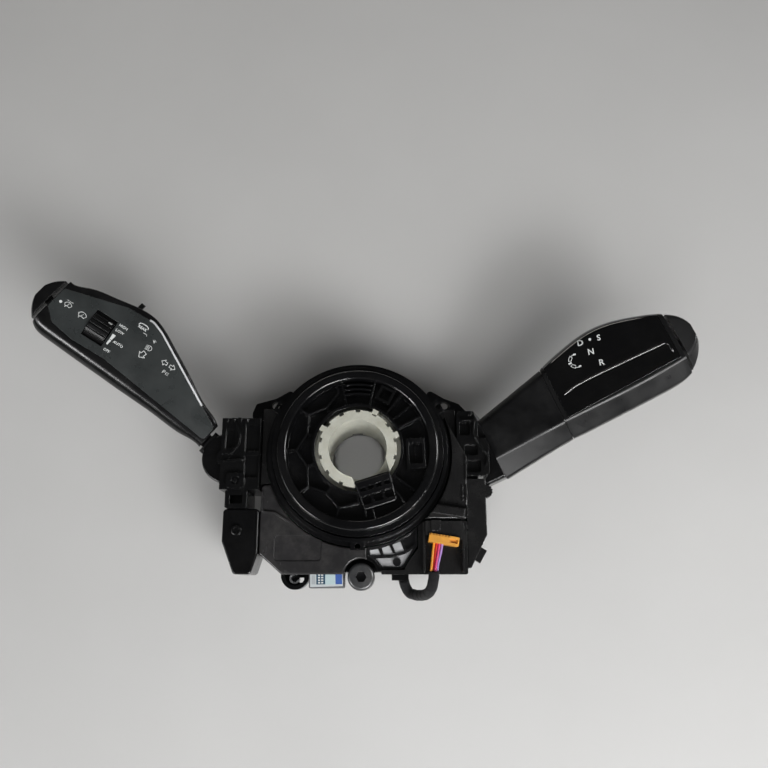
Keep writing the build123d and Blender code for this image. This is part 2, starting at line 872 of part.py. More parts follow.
# ------------------------------------------------------------------ covers beside the clock spring
ring_clear = stator_radius + flange_width + cover_seam
cover_top = housing_height + cover_thickness
left_edge = housing_left + cover_seam
bottom_edge = housing_bottom - cover_overhang
split_x = bay_x - cover_seam
with BuildPart() as lower_cover:
    with BuildSketch(Plane.XY.offset(housing_height)):
        with BuildLine():
            FilletPolyline(
                (left_edge, cover_left_top),
                (left_edge, housing_bottom + housing_chamfer_y),
                (housing_left + housing_chamfer_x, bottom_edge),
                (window_x - cover_seam, bottom_edge),
                (window_x - cover_seam, cover_left_top),
                radius=corner_radius,
                close=True,
            )
        make_face()
        Circle(ring_clear, mode=Mode.SUBTRACT)
        with Locations((bolt_x, bolt_y)):
            Circle(bolt_radius + arch_gap, mode=Mode.SUBTRACT)
    extrude(amount=cover_thickness)
    fillet(lower_cover.faces().sort_by(Axis.Z)[-1].edges(), cover_round)
    with BuildSketch(Plane.XY.offset(cover_top)):
        with Locations((panel_x, panel_y)):
            RectangleRounded(panel_length, panel_width, corner_radius)
    extrude(amount=-panel_recess, mode=Mode.SUBTRACT)
    with BuildSketch(Plane.XY.offset(cover_top - cover_wall)):
        with BuildLine():
            FilletPolyline(*lug_points, radius=corner_radius)
        trace(line_width=lug_width)
    extrude(amount=cover_wall + lug_height)
lower_cover.part.label = "lower_cover"
export_step(lower_cover.part, "parts/lower_cover.step")

# The fence closes the gap between the left housing and the clock spring.
with BuildPart() as left_corner_cover:
    with BuildSketch(Plane.XY.offset(housing_height)):
        with Locations((left_edge, cover_left_top + cover_seam)):
            Rectangle(
                ring_clear,
                housing_top - cover_left_top - 2 * cover_seam,
                align=(Align.MIN, Align.MIN),
            )
        Circle(ring_clear, mode=Mode.SUBTRACT)
    extrude(amount=cover_thickness + left_fence)
left_corner_cover.part.label = "left_corner_cover"
export_step(left_corner_cover.part, "parts/left_corner_cover.step")

with BuildPart() as window_panel:
    with BuildSketch(Plane.XY.offset(housing_height)) as window_outline:
        with BuildLine():
            FilletPolyline(
                (window_x, bay_y),
                (split_x, bay_y),
                (split_x, window_side_y),
                window_corner,
                (window_corner[0] - corner_radius, window_low),
                (window_x, window_low),
                radius=cover_round,
                close=True,
            )
        make_face()
        Circle(ring_clear, mode=Mode.SUBTRACT)
        with Locations((bolt_x, bolt_y)):
            Circle(bolt_radius + arch_gap + cover_wall, mode=Mode.SUBTRACT)
    extrude(amount=window_thickness)
    with BuildSketch(Plane.XY.offset(housing_height)):
        add(window_outline.sketch)
        offset(window_outline.sketch, amount=-window_rib, mode=Mode.SUBTRACT)
        with Locations(*window_bars):
            Rectangle(window_rib, window_bar_length, rotation=window_bar_turn)
        with BuildLine():
            FilletPolyline(*window_band, radius=window_band_round)
        trace(line_width=window_rib)
        with Locations((window_plug_x, window_plug_y)):
            Circle(window_plug_radius)
    extrude(amount=cover_thickness)
    with BuildSketch(Plane.XY.offset(housing_height)):
        add(window_outline.sketch)
    extrude(amount=cover_thickness, mode=Mode.INTERSECT)
window_panel.part.label = "window_panel"
export_step(window_panel.part, "parts/window_panel.step")

with BuildPart() as tower_cover:
    with BuildSketch(Plane.XY.offset(housing_height)) as tower_outline:
        with BuildLine():
            FilletPolyline(
                (tower_inner_x, tower_top + cover_round),
                (tower_slope_x, tower_top),
                (tower_x, tower_knee),
                (tower_x, bay_y + cover_seam),
                (tower_inner_x, bay_y + cover_seam),
                radius=corner_radius,
                close=True,
            )
        make_face()
        Circle(ring_clear, mode=Mode.SUBTRACT)
    extrude(amount=right_cover_height)
    fillet(tower_cover.faces().sort_by(Axis.Z)[-1].edges(), cover_round)
    with BuildSketch(Plane.XY.offset(housing_height)):
        offset(tower_outline.sketch, amount=-cover_wall)
    extrude(amount=right_cover_height - cover_wall, mode=Mode.SUBTRACT)
    # stepped rails along the right edge
    with BuildSketch(Plane.XY.offset(housing_height + right_cover_height - cover_wall)):
        for rail_x, rail_y, rail_length in edge_rails:
            with Locations((rail_x, rail_y)):
                Rectangle(edge_rail_width, rail_length)
    extrude(amount=cover_wall + edge_rail_height)
tower_cover.part.label = "tower_cover"
export_step(tower_cover.part, "parts/tower_cover.step")

with BuildPart() as right_corner_cover:
    with BuildSketch(Plane.XY.offset(housing_height)):
        with Locations((step_x - cover_seam, housing_top - cover_seam)):
            Rectangle(tower_inner_x, ring_clear, align=(Align.MAX, Align.MAX))
        Circle(ring_clear, mode=Mode.SUBTRACT)
        offset(tower_outline.sketch_local, amount=cover_seam, mode=Mode.SUBTRACT)
    extrude(amount=cover_thickness)
right_corner_cover.part.label = "right_corner_cover"
export_step(right_corner_cover.part, "parts/right_corner_cover.step")

with BuildPart() as bay_cover:
    with BuildSketch(Plane.XY.offset(housing_height)):
        with BuildLine():
            FilletPolyline(
                (bay_x, bay_y),
                (tower_x, bay_y),
                (tower_x, bottom_edge),
                (window_x, bottom_edge),
                (window_x, window_low - cover_seam),
                (bay_x, window_low - cover_seam),
                radius=cover_round,
                close=True,
            )
        make_face()
        with BuildLine():
            Polyline(
                (bay_x + cover_round, window_side_y),
                (bay_x + cover_round, window_low),
                (window_corner[0], window_low - cover_seam - cover_round),
                (window_corner[0], window_corner[1]),
                close=True,
            )
        make_face()
        offset(window_outline.sketch_local, amount=cover_seam, mode=Mode.SUBTRACT)
        Circle(ring_clear, mode=Mode.SUBTRACT)
        with Locations((bolt_x, bolt_y)):
            Circle(bolt_radius + arch_gap + cover_wall, mode=Mode.SUBTRACT)
    extrude(amount=bay_floor)
    # rails that guide the plug, and the wall along the bay's left side
    with BuildSketch(Plane.XY.offset(housing_height + bay_floor)):
        with Locations((plug_x, (bay_y + bottom_edge) / 2)):
            with GridLocations(plug_width + 2 * cover_wall + rail_width + 2 * seam, 0, 2, 1):
                Rectangle(rail_width, bay_y - bottom_edge - 2 * rail_width)
    extrude(amount=rail_height)
bay_cover.part.label = "bay_cover"
export_step(bay_cover.part, "parts/bay_cover.step")

with BuildPart() as side_plate:
    with BuildSketch(Plane.XY.offset(housing_height)):
        with BuildLine():
            FilletPolyline(
                (tower_x + cover_seam, step_y - side_gap),
                (side_x, step_y - side_gap),
                (side_x, housing_bottom + right_chamfer_y),
                (tower_x + cover_seam, bottom_edge),
                radius=cover_round,
                close=True,
            )
        make_face()
    extrude(amount=cover_thickness)
    fillet(side_plate.faces().sort_by(Axis.Z)[-1].edges(), cover_round / 2)
    with BuildSketch(Plane.XY.offset(housing_height)):
        with Locations(((tower_x + side_x) / 2 + cover_thickness / 2, tab_y)):
            Rectangle(clip_depth, clip_width, rotation=tab_turn)
    extrude(amount=-clip_depth)
    # fluted wheel in the plate's right edge
    with BuildSketch(Plane.XY.offset(cover_top - thumb_wheel_height)):
        with Locations((side_x, thumb_wheel_y)):
            Circle(thumb_wheel_radius)
            with PolarLocations(thumb_wheel_radius, thumb_wheel_teeth):
                Circle(thumb_wheel_groove, mode=Mode.SUBTRACT)
        with Locations((side_x - thumb_wheel_radius, thumb_wheel_y)):
            Rectangle(2 * (thumb_wheel_radius - cover_wall), 3 * thumb_wheel_radius, mode=Mode.SUBTRACT)
    extrude(amount=thumb_wheel_height)
side_plate.part.label = "side_plate"
export_step(side_plate.part, "parts/side_plate.step")

with BuildPart() as cable_guide:
    with BuildSketch(Plane.XY.offset(housing_height + right_cover_height)):
        with Locations((guide_x, guide_y)):
            Rectangle(guide_length, guide_width, rotation=guide_turn)
        Circle(ring_clear, mode=Mode.SUBTRACT)
    extrude(amount=guide_height)
    fillet(cable_guide.faces().sort_by(Axis.Z)[-1].edges(), cover_round)
cable_guide.part.label = "cable_guide"
export_step(cable_guide.part, "parts/cable_guide.step")

# ------------------------------------------------------------------ clock spring, turning half
horn_place = Location((0, 0, 0), horn_angle)
with BuildSketch() as horn_block:
    with BuildLine():
        FilletPolyline(
            (horn_inner, horn_offset - horn_width / 2),
            (horn_outer, horn_offset - horn_width / 2 + horn_taper),
            (horn_outer, horn_offset + horn_width / 2 - horn_taper),
            (horn_inner, horn_offset + horn_width / 2),
            radius=cover_round,
            close=True,
        )
    make_face()
horn_outline = horn_block.sketch.moved(horn_place)
with BuildSketch() as horn_clearance:
    with Locations((horn_inner / 2, horn_offset)):
        Rectangle(horn_inner + 2 * horn_step, horn_width)
horn_clear_outline = horn_clearance.sketch.moved(horn_place)
wheel_socket_place = Location((wheel_socket_x, wheel_socket_y, 0), wheel_socket_turn)
upper_socket_place = Location((upper_socket_x, upper_socket_y, 0), upper_socket_turn)

with BuildPart() as rotor_disc:
    with BuildSketch(Plane.XZ):
        with BuildLine():
            Polyline(
                (collar_inner_radius, web_bottom),
                (collar_inner_radius, rotor_front - collar_drop),
                (collar_radius, rotor_front - collar_drop),
                (collar_radius, web_top),
                (rim_inner_radius, web_top),
                (rim_inner_radius, rotor_front),
                (rim_radius, rotor_front),
                (rim_radius, rotor_front - rim_step),
                (rotor_radius, rotor_front - rim_step),
                (rotor_radius, web_bottom),
                (rotor_radius - rim_wall, web_bottom),
                (rotor_radius - rim_wall, rotor_front - rim_step - rim_wall),
                (rim_radius - rim_wall, rotor_front - rim_step - rim_wall),
                (rim_radius - rim_wall, rotor_front - rim_wall),
                (rim_inner_radius + rim_wall, rotor_front - rim_wall),
                (rim_inner_radius + rim_wall, web_bottom),
                close=True,
            )
        make_face()
    revolve(axis=Axis.Z)
    fillet(rotor_disc.edges().group_by(Axis.Z)[-1], rim_round)
    with BuildSketch(Plane.XY.offset(web_top)):
        add(horn_outline)
    extrude(amount=rotor_front, mode=Mode.SUBTRACT)
    # honeycomb ribs: two rings of nodes joined by a zigzag, with spokes to the collar and the rim,
    # radial ribs elsewhere and curved ribs at the top
    with BuildSketch(Plane.XY.offset(web_top)):
        with BuildLine():
            for node in range(comb_nodes):
                angle = comb_start + node * comb_step
                radius = comb_inner if node % 2 else comb_outer
                end = collar_radius if node % 2 else rim_inner_radius
                here = Vector(radius, 0).rotate(Axis.Z, angle)
                wall = Vector(end, 0).rotate(Axis.Z, angle)
                Line(here, wall)
                if node + 1 < comb_nodes:
                    beyond = comb_outer if node % 2 else comb_inner
                    Line(here, Vector(beyond, 0).rotate(Axis.Z, angle + comb_step))
        trace(line_width=comb_wall)
        for angle in spoke_angles:
            with Locations(Location((0, 0, 0), angle)):
                with Locations(((rim_inner_radius + collar_radius) / 2, 0)):
                    Rectangle(rim_inner_radius - collar_radius + comb_wall, comb_wall)
        with BuildLine():
            for radius in arc_radii:
                CenterArc((0, 0), radius, 90 - arc_span / 2, arc_span)
        trace(line_width=comb_wall)
        with BuildSketch(mode=Mode.INTERSECT):
            Circle(rim_inner_radius + rim_wall / 2)
            Circle(collar_radius - collar_wall / 2, mode=Mode.SUBTRACT)
            add(horn_outline, mode=Mode.SUBTRACT)
            with Locations(wheel_socket_place):
                Rectangle(wheel_socket_width, wheel_socket_length, mode=Mode.SUBTRACT)
            with Locations(upper_socket_place):
                Rectangle(upper_socket_width, upper_socket_width, mode=Mode.SUBTRACT)
    extrude(amount=rib_height)
rotor_disc.part.label = "rotor_disc"
export_step(rotor_disc.part, "parts/rotor_disc.step")

flange_bottom = rotor_front - collar_drop - flange_depth
with BuildPart() as hub_ring:
    with BuildSketch():
        Circle(hub_tube_radius)
        Circle(bore_radius, mode=Mode.SUBTRACT)
    extrude(amount=rotor_front - collar_drop)
    with BuildSketch(Plane.XY):
        Circle(hub_tube_radius)
    extrude(amount=hub_foot, mode=Mode.SUBTRACT)
    with BuildSketch(Plane.XY.offset(web_bottom)):
        Circle(collar_inner_radius)
        Circle(bore_radius, mode=Mode.SUBTRACT)
    extrude(amount=web_thickness)
    with BuildSketch(Plane.XY.offset(flange_bottom)):
        Circle(hub_flange_radius)
        Circle(bore_radius, mode=Mode.SUBTRACT)
        with PolarLocations(hub_flange_radius, notch_count, start_angle=90):
            Rectangle(notch_depth * 2, notch_width, mode=Mode.SUBTRACT)
        with PolarLocations(hub_flange_radius + collar_gap / 2, 1, start_angle=latch_angles[0]):
            Rectangle(collar_gap + 1, latch_width)
        with PolarLocations(hub_flange_radius + collar_gap / 2, 1, start_angle=latch_angles[1]):
            Rectangle(collar_gap + 1, latch_width)
        with PolarLocations(hub_flange_radius + collar_gap / 2, 1, start_angle=latch_angles[2]):
            Rectangle(collar_gap + 1, latch_width)
        Circle(collar_inner_radius, mode=Mode.INTERSECT)
    extrude(amount=flange_depth)
    with BuildSketch(Plane.XY.offset(hub_foot)):
        with PolarLocations(hub_tube_radius, 3, start_angle=95):
            Rectangle(hub_wall * 4, mouth_width)
    extrude(amount=mouth_depth, mode=Mode.SUBTRACT)
    with BuildSketch(Plane.XY.offset(web_top)):
        add(horn_outline)
        add(horn_clear_outline)
    extrude(amount=rotor_front, mode=Mode.SUBTRACT)
hub_ring.part.label = "hub_ring"
export_step(hub_ring.part, "parts/hub_ring.step")

with BuildPart() as horn_socket:
    with BuildSketch(Plane.XY.offset(web_top)):
        add(horn_outline)
    extrude(amount=rotor_front - web_top - horn_drop)
    with BuildSketch(Plane.XY.offset(web_top + horn_foot)):
        with Locations(horn_place):
            with Locations((horn_inner, horn_offset)):
                Rectangle(2 * horn_step, 2 * horn_width)
    extrude(amount=rotor_front, mode=Mode.SUBTRACT)
    fillet(horn_socket.faces().sort_by(Axis.Z)[-1].edges(), horn_round)
    # a row of box pockets, and a row of slots nearer the hub
    with BuildSketch(Plane.XY.offset(rotor_front - horn_drop)):
        with Locations(horn_place):
            with Locations((horn_outer - horn_box_step + horn_step, horn_offset)):
                with GridLocations(1, horn_box_step, 1, 3):
                    Rectangle(horn_box_length, horn_box_width)
            with Locations((horn_inner + horn_box_step, horn_offset)):
                with GridLocations(1, horn_slot_step, 1, 4):
                    Rectangle(horn_slot_length, horn_slot_step - horn_step)
    extrude(amount=-horn_pocket, mode=Mode.SUBTRACT)
    # wall that runs on from the block's left side to the rim
    with BuildSketch(Plane.XY.offset(web_top)):
        with Locations(horn_place):
            with Locations((horn_outer - horn_taper, horn_offset - horn_width / 2 + horn_taper)):
                Rectangle(
                    horn_wall_reach - horn_outer,
                    comb_wall,
                    rotation=-horn_wall_turn,
                    align=(Align.MIN, Align.MIN),
                )
    extrude(amount=rib_height)
horn_socket.part.label = "horn_socket"
export_step(horn_socket.part, "parts/horn_socket.step")

with BuildPart() as wheel_socket:
    with BuildSketch(Plane.XY.offset(web_top)):
        with Locations(wheel_socket_place):
            Rectangle(wheel_socket_width, wheel_socket_length)
            Rectangle(
                wheel_socket_width - 2 * wheel_socket_wall,
                wheel_socket_length - 2 * wheel_socket_end,
                mode=Mode.SUBTRACT,
            )
    extrude(amount=wheel_socket_height)
    with BuildSketch(Plane.XY.offset(web_top)):
        with Locations(wheel_socket_place):
            Rectangle(wheel_socket_width - wheel_socket_wall, wheel_socket_length - wheel_socket_end)
    extrude(amount=wheel_socket_wall)
    with BuildSketch(Plane.XY.offset(web_top)):
        with Locations(wheel_socket_place):
            with GridLocations(1, 2.2, 1, 5):
                Rectangle(pin_width, pin_width)
    extrude(amount=wheel_pin_height)
wheel_socket.part.label = "wheel_socket"
export_step(wheel_socket.part, "parts/wheel_socket.step")

with BuildPart() as upper_socket:
    with BuildSketch(Plane.XY.offset(web_top)):
        with Locations(upper_socket_place):
            upper_cavity = upper_socket_width - 2 * wheel_socket_wall
            Rectangle(upper_socket_width, upper_socket_width)
            Rectangle(upper_cavity, upper_cavity, mode=Mode.SUBTRACT)
    extrude(amount=rib_height + wheel_socket_wall)
upper_socket.part.label = "upper_socket"
export_step(upper_socket.part, "parts/upper_socket.step")

# ------------------------------------------------------------------ steering angle gears
with BuildPart() as sensor_drive_gear:
    with BuildSketch(Plane.XY.offset(gear_height)):
        add(gear_outline(main_teeth))
        Circle(hub_tube_radius, mode=Mode.SUBTRACT)
    extrude(amount=gear_width)
sensor_drive_gear.part.label = "sensor_drive_gear"
export_step(sensor_drive_gear.part, "parts/sensor_drive_gear.step")


def sensor_gear(teeth, place, angle):
    """A measuring gear on its axle, turned so that a gap faces a tooth of the drive gear."""
    outline = gear_outline(teeth, (place.X, place.Y), angle + 180 + 180 / teeth)
    with BuildPart() as gear:
        with BuildSketch(Plane.XY.offset(gear_height)):
            add(outline)
            with Locations(place):
                Circle(gear_pin_radius + running_gap, mode=Mode.SUBTRACT)
        extrude(amount=gear_width)
    return gear.part


sensor_gear_a = sensor_gear(gear_a_teeth, gear_a_place, gear_a_angle)
sensor_gear_a.label = "sensor_gear_a"
export_step(sensor_gear_a, "parts/sensor_gear_a.step")

sensor_gear_b = sensor_gear(gear_b_teeth, gear_b_place, gear_b_angle)
sensor_gear_b.label = "sensor_gear_b"
export_step(sensor_gear_b, "parts/sensor_gear_b.step")

# ------------------------------------------------------------------ left switch housing
barrel_bottom = left_pivot.Z - barrel_half
barrel_top = left_pivot.Z + barrel_half
left_low = barrel_bottom - barrel_gap - left_plate
left_high = barrel_top + barrel_gap + left_plate
left_depth = left_high - left_low
left_middle_y = (left_top + left_bottom) / 2

with BuildPart() as left_switch_housing:
    with BuildSketch(Plane.XY.offset(left_low)):
        with Locations(((left_mouth + housing_left) / 2, left_middle_y)):
            Rectangle(housing_left - left_mouth, left_top - left_bottom)
        with Locations((left_pivot.X, left_pivot.Y)):
            Circle(trunnion_radius + left_plate)
    extrude(amount=left_depth)
    with BuildSketch(Plane.XY.offset(left_low + left_plate)):
        with Locations(((left_mouth + housing_left) / 2 - left_wall - left_plate, left_middle_y)):
            Rectangle(
                housing_left - left_mouth + 2 * left_plate,
                left_top - left_bottom - 2 * left_wall,
            )
    extrude(amount=left_depth - 2 * left_plate, mode=Mode.SUBTRACT)
    # recesses, ribs, posts and a rounded block on the front plate
    with BuildSketch(Plane.XY.offset(left_high)):
        for x, y, across_x, across_y in left_recess:
            with Locations((x, y)):
                Rectangle(across_x, across_y)
    extrude(amount=-left_recess_depth, mode=Mode.SUBTRACT)
    with BuildSketch(Plane.XY.offset(left_high - left_recess_depth)):
        with BuildLine():
            FilletPolyline(*left_s_rib, radius=corner_radius)
        trace(line_width=cluster_rib)
        with BuildLine():
            Line(*left_ledge)
        trace(line_width=cluster_rib)
        with Locations(*left_posts):
            Rectangle(left_post_length, left_post_length)
    extrude(amount=left_recess_depth + cluster_height)
    with BuildSketch(Plane.XY.offset(left_high - left_plate / 2)):
        with Locations((left_block_x, left_block_y)):
            RectangleRounded(left_block_length, left_block_width, corner_radius)
    extrude(amount=left_plate / 2 + cluster_height)
    fillet(left_switch_housing.faces().sort_by(Axis.Z)[-1].edges(), horn_round)
    with BuildSketch(Plane.XY.offset(left_high + cluster_height)):
        with Locations((left_block_x, left_block_y)):
            Circle(left_block_hole)
            Circle(left_block_hole - cluster_rib, mode=Mode.SUBTRACT)
    extrude(amount=-cluster_height / 2, mode=Mode.SUBTRACT)
    with BuildSketch(Plane.XY.offset(left_low)):
        with Locations((left_pivot.X, left_pivot.Y)):
            Circle(trunnion_radius + running_gap)
    extrude(amount=2 * left_depth, mode=Mode.SUBTRACT)
left_switch_housing.part.label = "left_switch_housing"
export_step(left_switch_housing.part, "parts/left_switch_housing.step")

bracket_top = left_bottom - slot_length
with BuildPart() as slot_frame:
    with BuildSketch(Plane.XY.offset(left_low + left_plate)):
        with Locations(((left_mouth + slot_inset + slot_right) / 2, left_bottom - slot_length / 2)):
            Rectangle(slot_right - left_mouth - slot_inset, slot_length)
    extrude(amount=left_depth - 2 * left_plate)
    fillet(slot_frame.edges().filter_by(Axis.Z), cover_round)
    with BuildSketch(Plane.XY.offset(left_high - left_plate)):
        with Locations(((left_mouth + slot_inset + slot_right) / 2, left_bottom - slot_length / 2)):
            Rectangle(slot_right - left_mouth - slot_inset - 3 * cover_wall, slot_length - 3 * cover_wall)
    extrude(amount=-slot_depth, mode=Mode.SUBTRACT)
slot_frame.part.label = "slot_frame"
export_step(slot_frame.part, "parts/slot_frame.step")

with BuildPart() as left_bracket:
    with BuildSketch(Plane.XY.offset(bracket_low)) as bracket_outline:
        with BuildLine():
            FilletPolyline(
                (left_mouth + 2, bracket_top),
                (left_mouth + 2, bracket_knee),
                (left_mouth + 10, bottom_edge),
                (housing_left - 4, bottom_edge),
                (housing_left, housing_bottom + housing_chamfer_y),
                (housing_left, bracket_top),
                radius=corner_radius,
                close=True,
            )
        make_face()
    extrude(amount=cover_top + cover_wall - bracket_low)
    fillet(left_bracket.faces().sort_by(Axis.Z)[-1].edges(), cover_round)
    with BuildSketch(Plane.XY.offset(bracket_low)):
        offset(bracket_outline.sketch, amount=-cover_wall)
        with Locations((screw_x, screw_y)):
            Circle(screw_boss_radius, mode=Mode.SUBTRACT)
    extrude(amount=cover_top - bracket_low, mode=Mode.SUBTRACT)
    with BuildSketch(Plane.XY.offset(bracket_low)):
        with Locations((screw_x, screw_y)):
            Circle(screw_radius)
    extrude(amount=left_high, mode=Mode.SUBTRACT)
left_bracket.part.label = "left_bracket"
export_step(left_bracket.part, "parts/left_bracket.step")

with BuildPart() as bracket_screw:
    with BuildSketch(Plane.XY.offset(cover_top + cover_wall)):
        with Locations((screw_x, screw_y)):
            Circle(screw_head_radius)
    extrude(amount=screw_head)
    fillet(bracket_screw.edges().group_by(Axis.Z)[-1], screw_head / 3)
    with BuildSketch(Plane.XY.offset(cover_top + cover_wall + screw_head)):
        with Locations((screw_x, screw_y)):
            RegularPolygon(screw_radius, 6)
    extrude(amount=-screw_head / 2, mode=Mode.SUBTRACT)
    with BuildSketch(Plane.XY.offset(bracket_low)):
        with Locations((screw_x, screw_y)):
            Circle(screw_radius)
    extrude(amount=cover_top + cover_wall - bracket_low)
bracket_screw.part.label = "bracket_screw"
export_step(bracket_screw.part, "parts/bracket_screw.step")

# ------------------------------------------------------------------ left gimbal
pivot_plane = Plane(origin=left_pivot)
with BuildPart() as turn_barrel:
    with BuildSketch(pivot_plane.offset(-barrel_half)):
        Circle(barrel_radius)
    extrude(amount=2 * barrel_half)
    fillet(turn_barrel.edges().filter_by(GeomType.CIRCLE), cover_round)
    with BuildSketch(across(left_plane, -snout_reach)):
        RectangleRounded(snout_width, snout_height, corner_radius)
    extrude(amount=snout_reach - barrel_radius + 2 * barrel_wall)
    with BuildSketch(pivot_plane.offset(-barrel_half - barrel_gap - left_plate)):
        Circle(trunnion_radius)
    extrude(amount=left_depth)
    with BuildSketch(pivot_plane.offset(barrel_wall - barrel_half)):
        Circle(barrel_radius - barrel_wall)
    extrude(amount=2 * (barrel_half - barrel_wall), mode=Mode.SUBTRACT)
    with BuildSketch(across(left_plane, -snout_reach)):
        slot_height = core_height + 2 * snout_reach * math.tan(math.radians(flash_angle))
        Rectangle(core_width + 2 * core_gap, slot_height + 4 * core_gap)
    extrude(amount=snout_reach, mode=Mode.SUBTRACT)
    with BuildSketch(sidewise(left_plane, 0)):
        Circle(flash_pin_radius)
    extrude(amount=barrel_radius, both=True, mode=Mode.SUBTRACT)
turn_barrel.part.label = "turn_barrel"
export_step(turn_barrel.part, "parts/turn_barrel.step")

with BuildPart() as flash_pin:
    with BuildSketch(sidewise(left_plane, 0)):
        Circle(flash_pin_radius)
    extrude(amount=barrel_radius - core_gap, both=True)
flash_pin.part.label = "flash_pin"
export_step(flash_pin.part, "parts/flash_pin.step")

# ------------------------------------------------------------------ left stalk
with BuildPart() as lever_core:
    with BuildSketch(across(left_plane, -core_root)):
        Rectangle(core_width, core_height)
    extrude(amount=core_root + core_tail)
    with BuildSketch(sidewise(left_plane, 0)):
        Circle(flash_pin_radius + running_gap)
    extrude(amount=core_width, both=True, mode=Mode.SUBTRACT)
lever_core.part.label = "lever_core"
export_step(lever_core.part, "parts/lever_core.step")

left_face_plane = left_plane.offset(left_face)
roller_frame = Plane(left_plane.location * Pos(-roller_distance, roller_y, 0) * Rot(0, 0, roller_turn))
roller_face = roller_frame.offset(left_face)
roller_plane = across(roller_frame, 0, 0, left_face - roller_drop)
paddle_outer = paddle_form(0, last=-2)
paddle_inner = paddle_form(shell_wall, first=1, last=-2)
roller_half = roller_length / 2 + roller_gap
toggle_half = toggle_width / 2 + toggle_gap

with BuildPart() as shell_ribs:
    add(paddle_inner)
    with BuildSketch(roller_face):
        with GridLocations(2 * roller_half + rib_thickness, 0, 2, 1):
            Rectangle(rib_thickness, 3 * roller_radius)
    with BuildSketch(left_face_plane):
        for rib_distance in (toggle_distance - toggle_half, toggle_distance + toggle_half + rib_thickness):
            with Locations((rib_thickness / 2 - rib_distance, toggle_y)):
                Rectangle(rib_thickness, 4 * toggle_hub_radius)
        with Locations((end_wall / 2 - shell_end, 0)):
            Rectangle(end_wall, 4 * core_root)
    extrude(amount=-2 * core_root, mode=Mode.INTERSECT)

with BuildSketch(left_face_plane) as trim_strip:
    with BuildLine():
        FilletPolyline(*trim_edge, radius=plate_round)
    trace(line_width=trim_width)
with BuildSketch(left_face_plane) as trim_slot:
    with BuildLine():
        FilletPolyline(*trim_edge, radius=plate_round)
    trace(line_width=trim_width)
    offset(amount=seam)
with BuildSketch(left_face_plane) as plate_outline:
    with BuildLine():
        FilletPolyline(
            *plate_upper_edge,
            *plate_tip,
            *plate_lower_edge,
            radius=corner_radius,
            close=True,
        )
    make_face()
with BuildSketch(left_face_plane) as recess_outline:
    with BuildLine():
        FilletPolyline(
            *plate_upper_edge,
            *plate_tip,
            *plate_lower_edge,
            radius=corner_radius,
            close=True,
        )
    make_face()
    offset(amount=seam)
    add(trim_slot.sketch_local)
with BuildSketch(roller_face) as roller_window:
    Rectangle(2 * roller_half, window_length)

with BuildPart() as left_stalk_shell:
    add(paddle_outer)
    split(bisect_by=across(left_plane, -shell_end), keep=Keep.TOP)
    add(paddle_inner, mode=Mode.SUBTRACT)
    add(shell_ribs.part)
    with BuildSketch(across(left_plane, -core_root)):
        Rectangle(core_width, core_height)
    extrude(amount=core_root, mode=Mode.SUBTRACT)
    extrude(recess_outline.sketch, amount=face_depth, both=True, mode=Mode.SUBTRACT)
    extrude(roller_window.sketch, amount=roller_drop, both=True, mode=Mode.SUBTRACT)
    with BuildSketch(roller_plane):
        Circle(roller_radius + roller_gap)
    extrude(amount=roller_half, both=True, mode=Mode.SUBTRACT)
    with BuildSketch(roller_plane):
        Circle(roller_pin_radius + running_gap)
    extrude(amount=roller_half + 2 * rib_thickness, both=True, mode=Mode.SUBTRACT)
    with BuildSketch(across(left_plane, -toggle_distance, toggle_y, left_face - toggle_drop)):
        Circle(toggle_pin_radius + running_gap)
    extrude(amount=toggle_half + 2 * rib_thickness, both=True, mode=Mode.SUBTRACT)
    with BuildSketch(across(left_plane, -toggle_distance, toggle_y, left_face - toggle_drop)):
        with Locations((toggle_reach, 0)):
            Rectangle(2 * toggle_reach, toggle_slot)
    extrude(amount=toggle_half, both=True, mode=Mode.SUBTRACT)
    with BuildSketch(across(left_plane, -shell_end, stem_y, stem_z)):
        Circle(cap_stem_radius + running_gap)
    extrude(amount=2 * end_wall, mode=Mode.SUBTRACT)
left_stalk_shell.part.label = "left_stalk_shell"
export_step(left_stalk_shell.part, "parts/left_stalk_shell.step")

with BuildPart() as left_face_plate:
    extrude(plate_outline.sketch, amount=-face_depth)
    extrude(trim_slot.sketch, amount=-face_depth, mode=Mode.SUBTRACT)
    extrude(roller_window.sketch, amount=-face_depth, mode=Mode.SUBTRACT)
left_face_plate.part.label = "left_face_plate"
export_step(left_face_plate.part, "parts/left_face_plate.step")

with BuildPart() as left_trim:
    extrude(trim_strip.sketch, amount=-face_depth)
    extrude(trim_strip.sketch, amount=trim_rise)
left_trim.part.label = "left_trim"
export_step(left_trim.part, "parts/left_trim.step")

with BuildPart() as wash_button:
    add(paddle_form(0, first=-3))
    split(bisect_by=across(left_plane, -shell_end - cap_gap), keep=Keep.BOTTOM)
    with BuildSketch(across(left_plane, -shell_end - 2 * cap_gap, stem_y, stem_z)):
        Circle(cap_stem_radius)
    extrude(amount=cap_stem_length)
wash_button.part.label = "wash_button"
export_step(wash_button.part, "parts/wash_button.step")

with BuildPart() as wiper_roller:
    with BuildSketch(roller_plane):
        Circle(roller_radius)
        with PolarLocations(roller_radius, roller_grooves):
            Circle(groove_radius, mode=Mode.SUBTRACT)
    extrude(amount=roller_length / 2, both=True)
    with BuildSketch(roller_plane):
        Circle(roller_pin_radius)
    extrude(amount=roller_half + rib_thickness, both=True)
wiper_roller.part.label = "wiper_roller"
export_step(wiper_roller.part, "parts/wiper_roller.step")

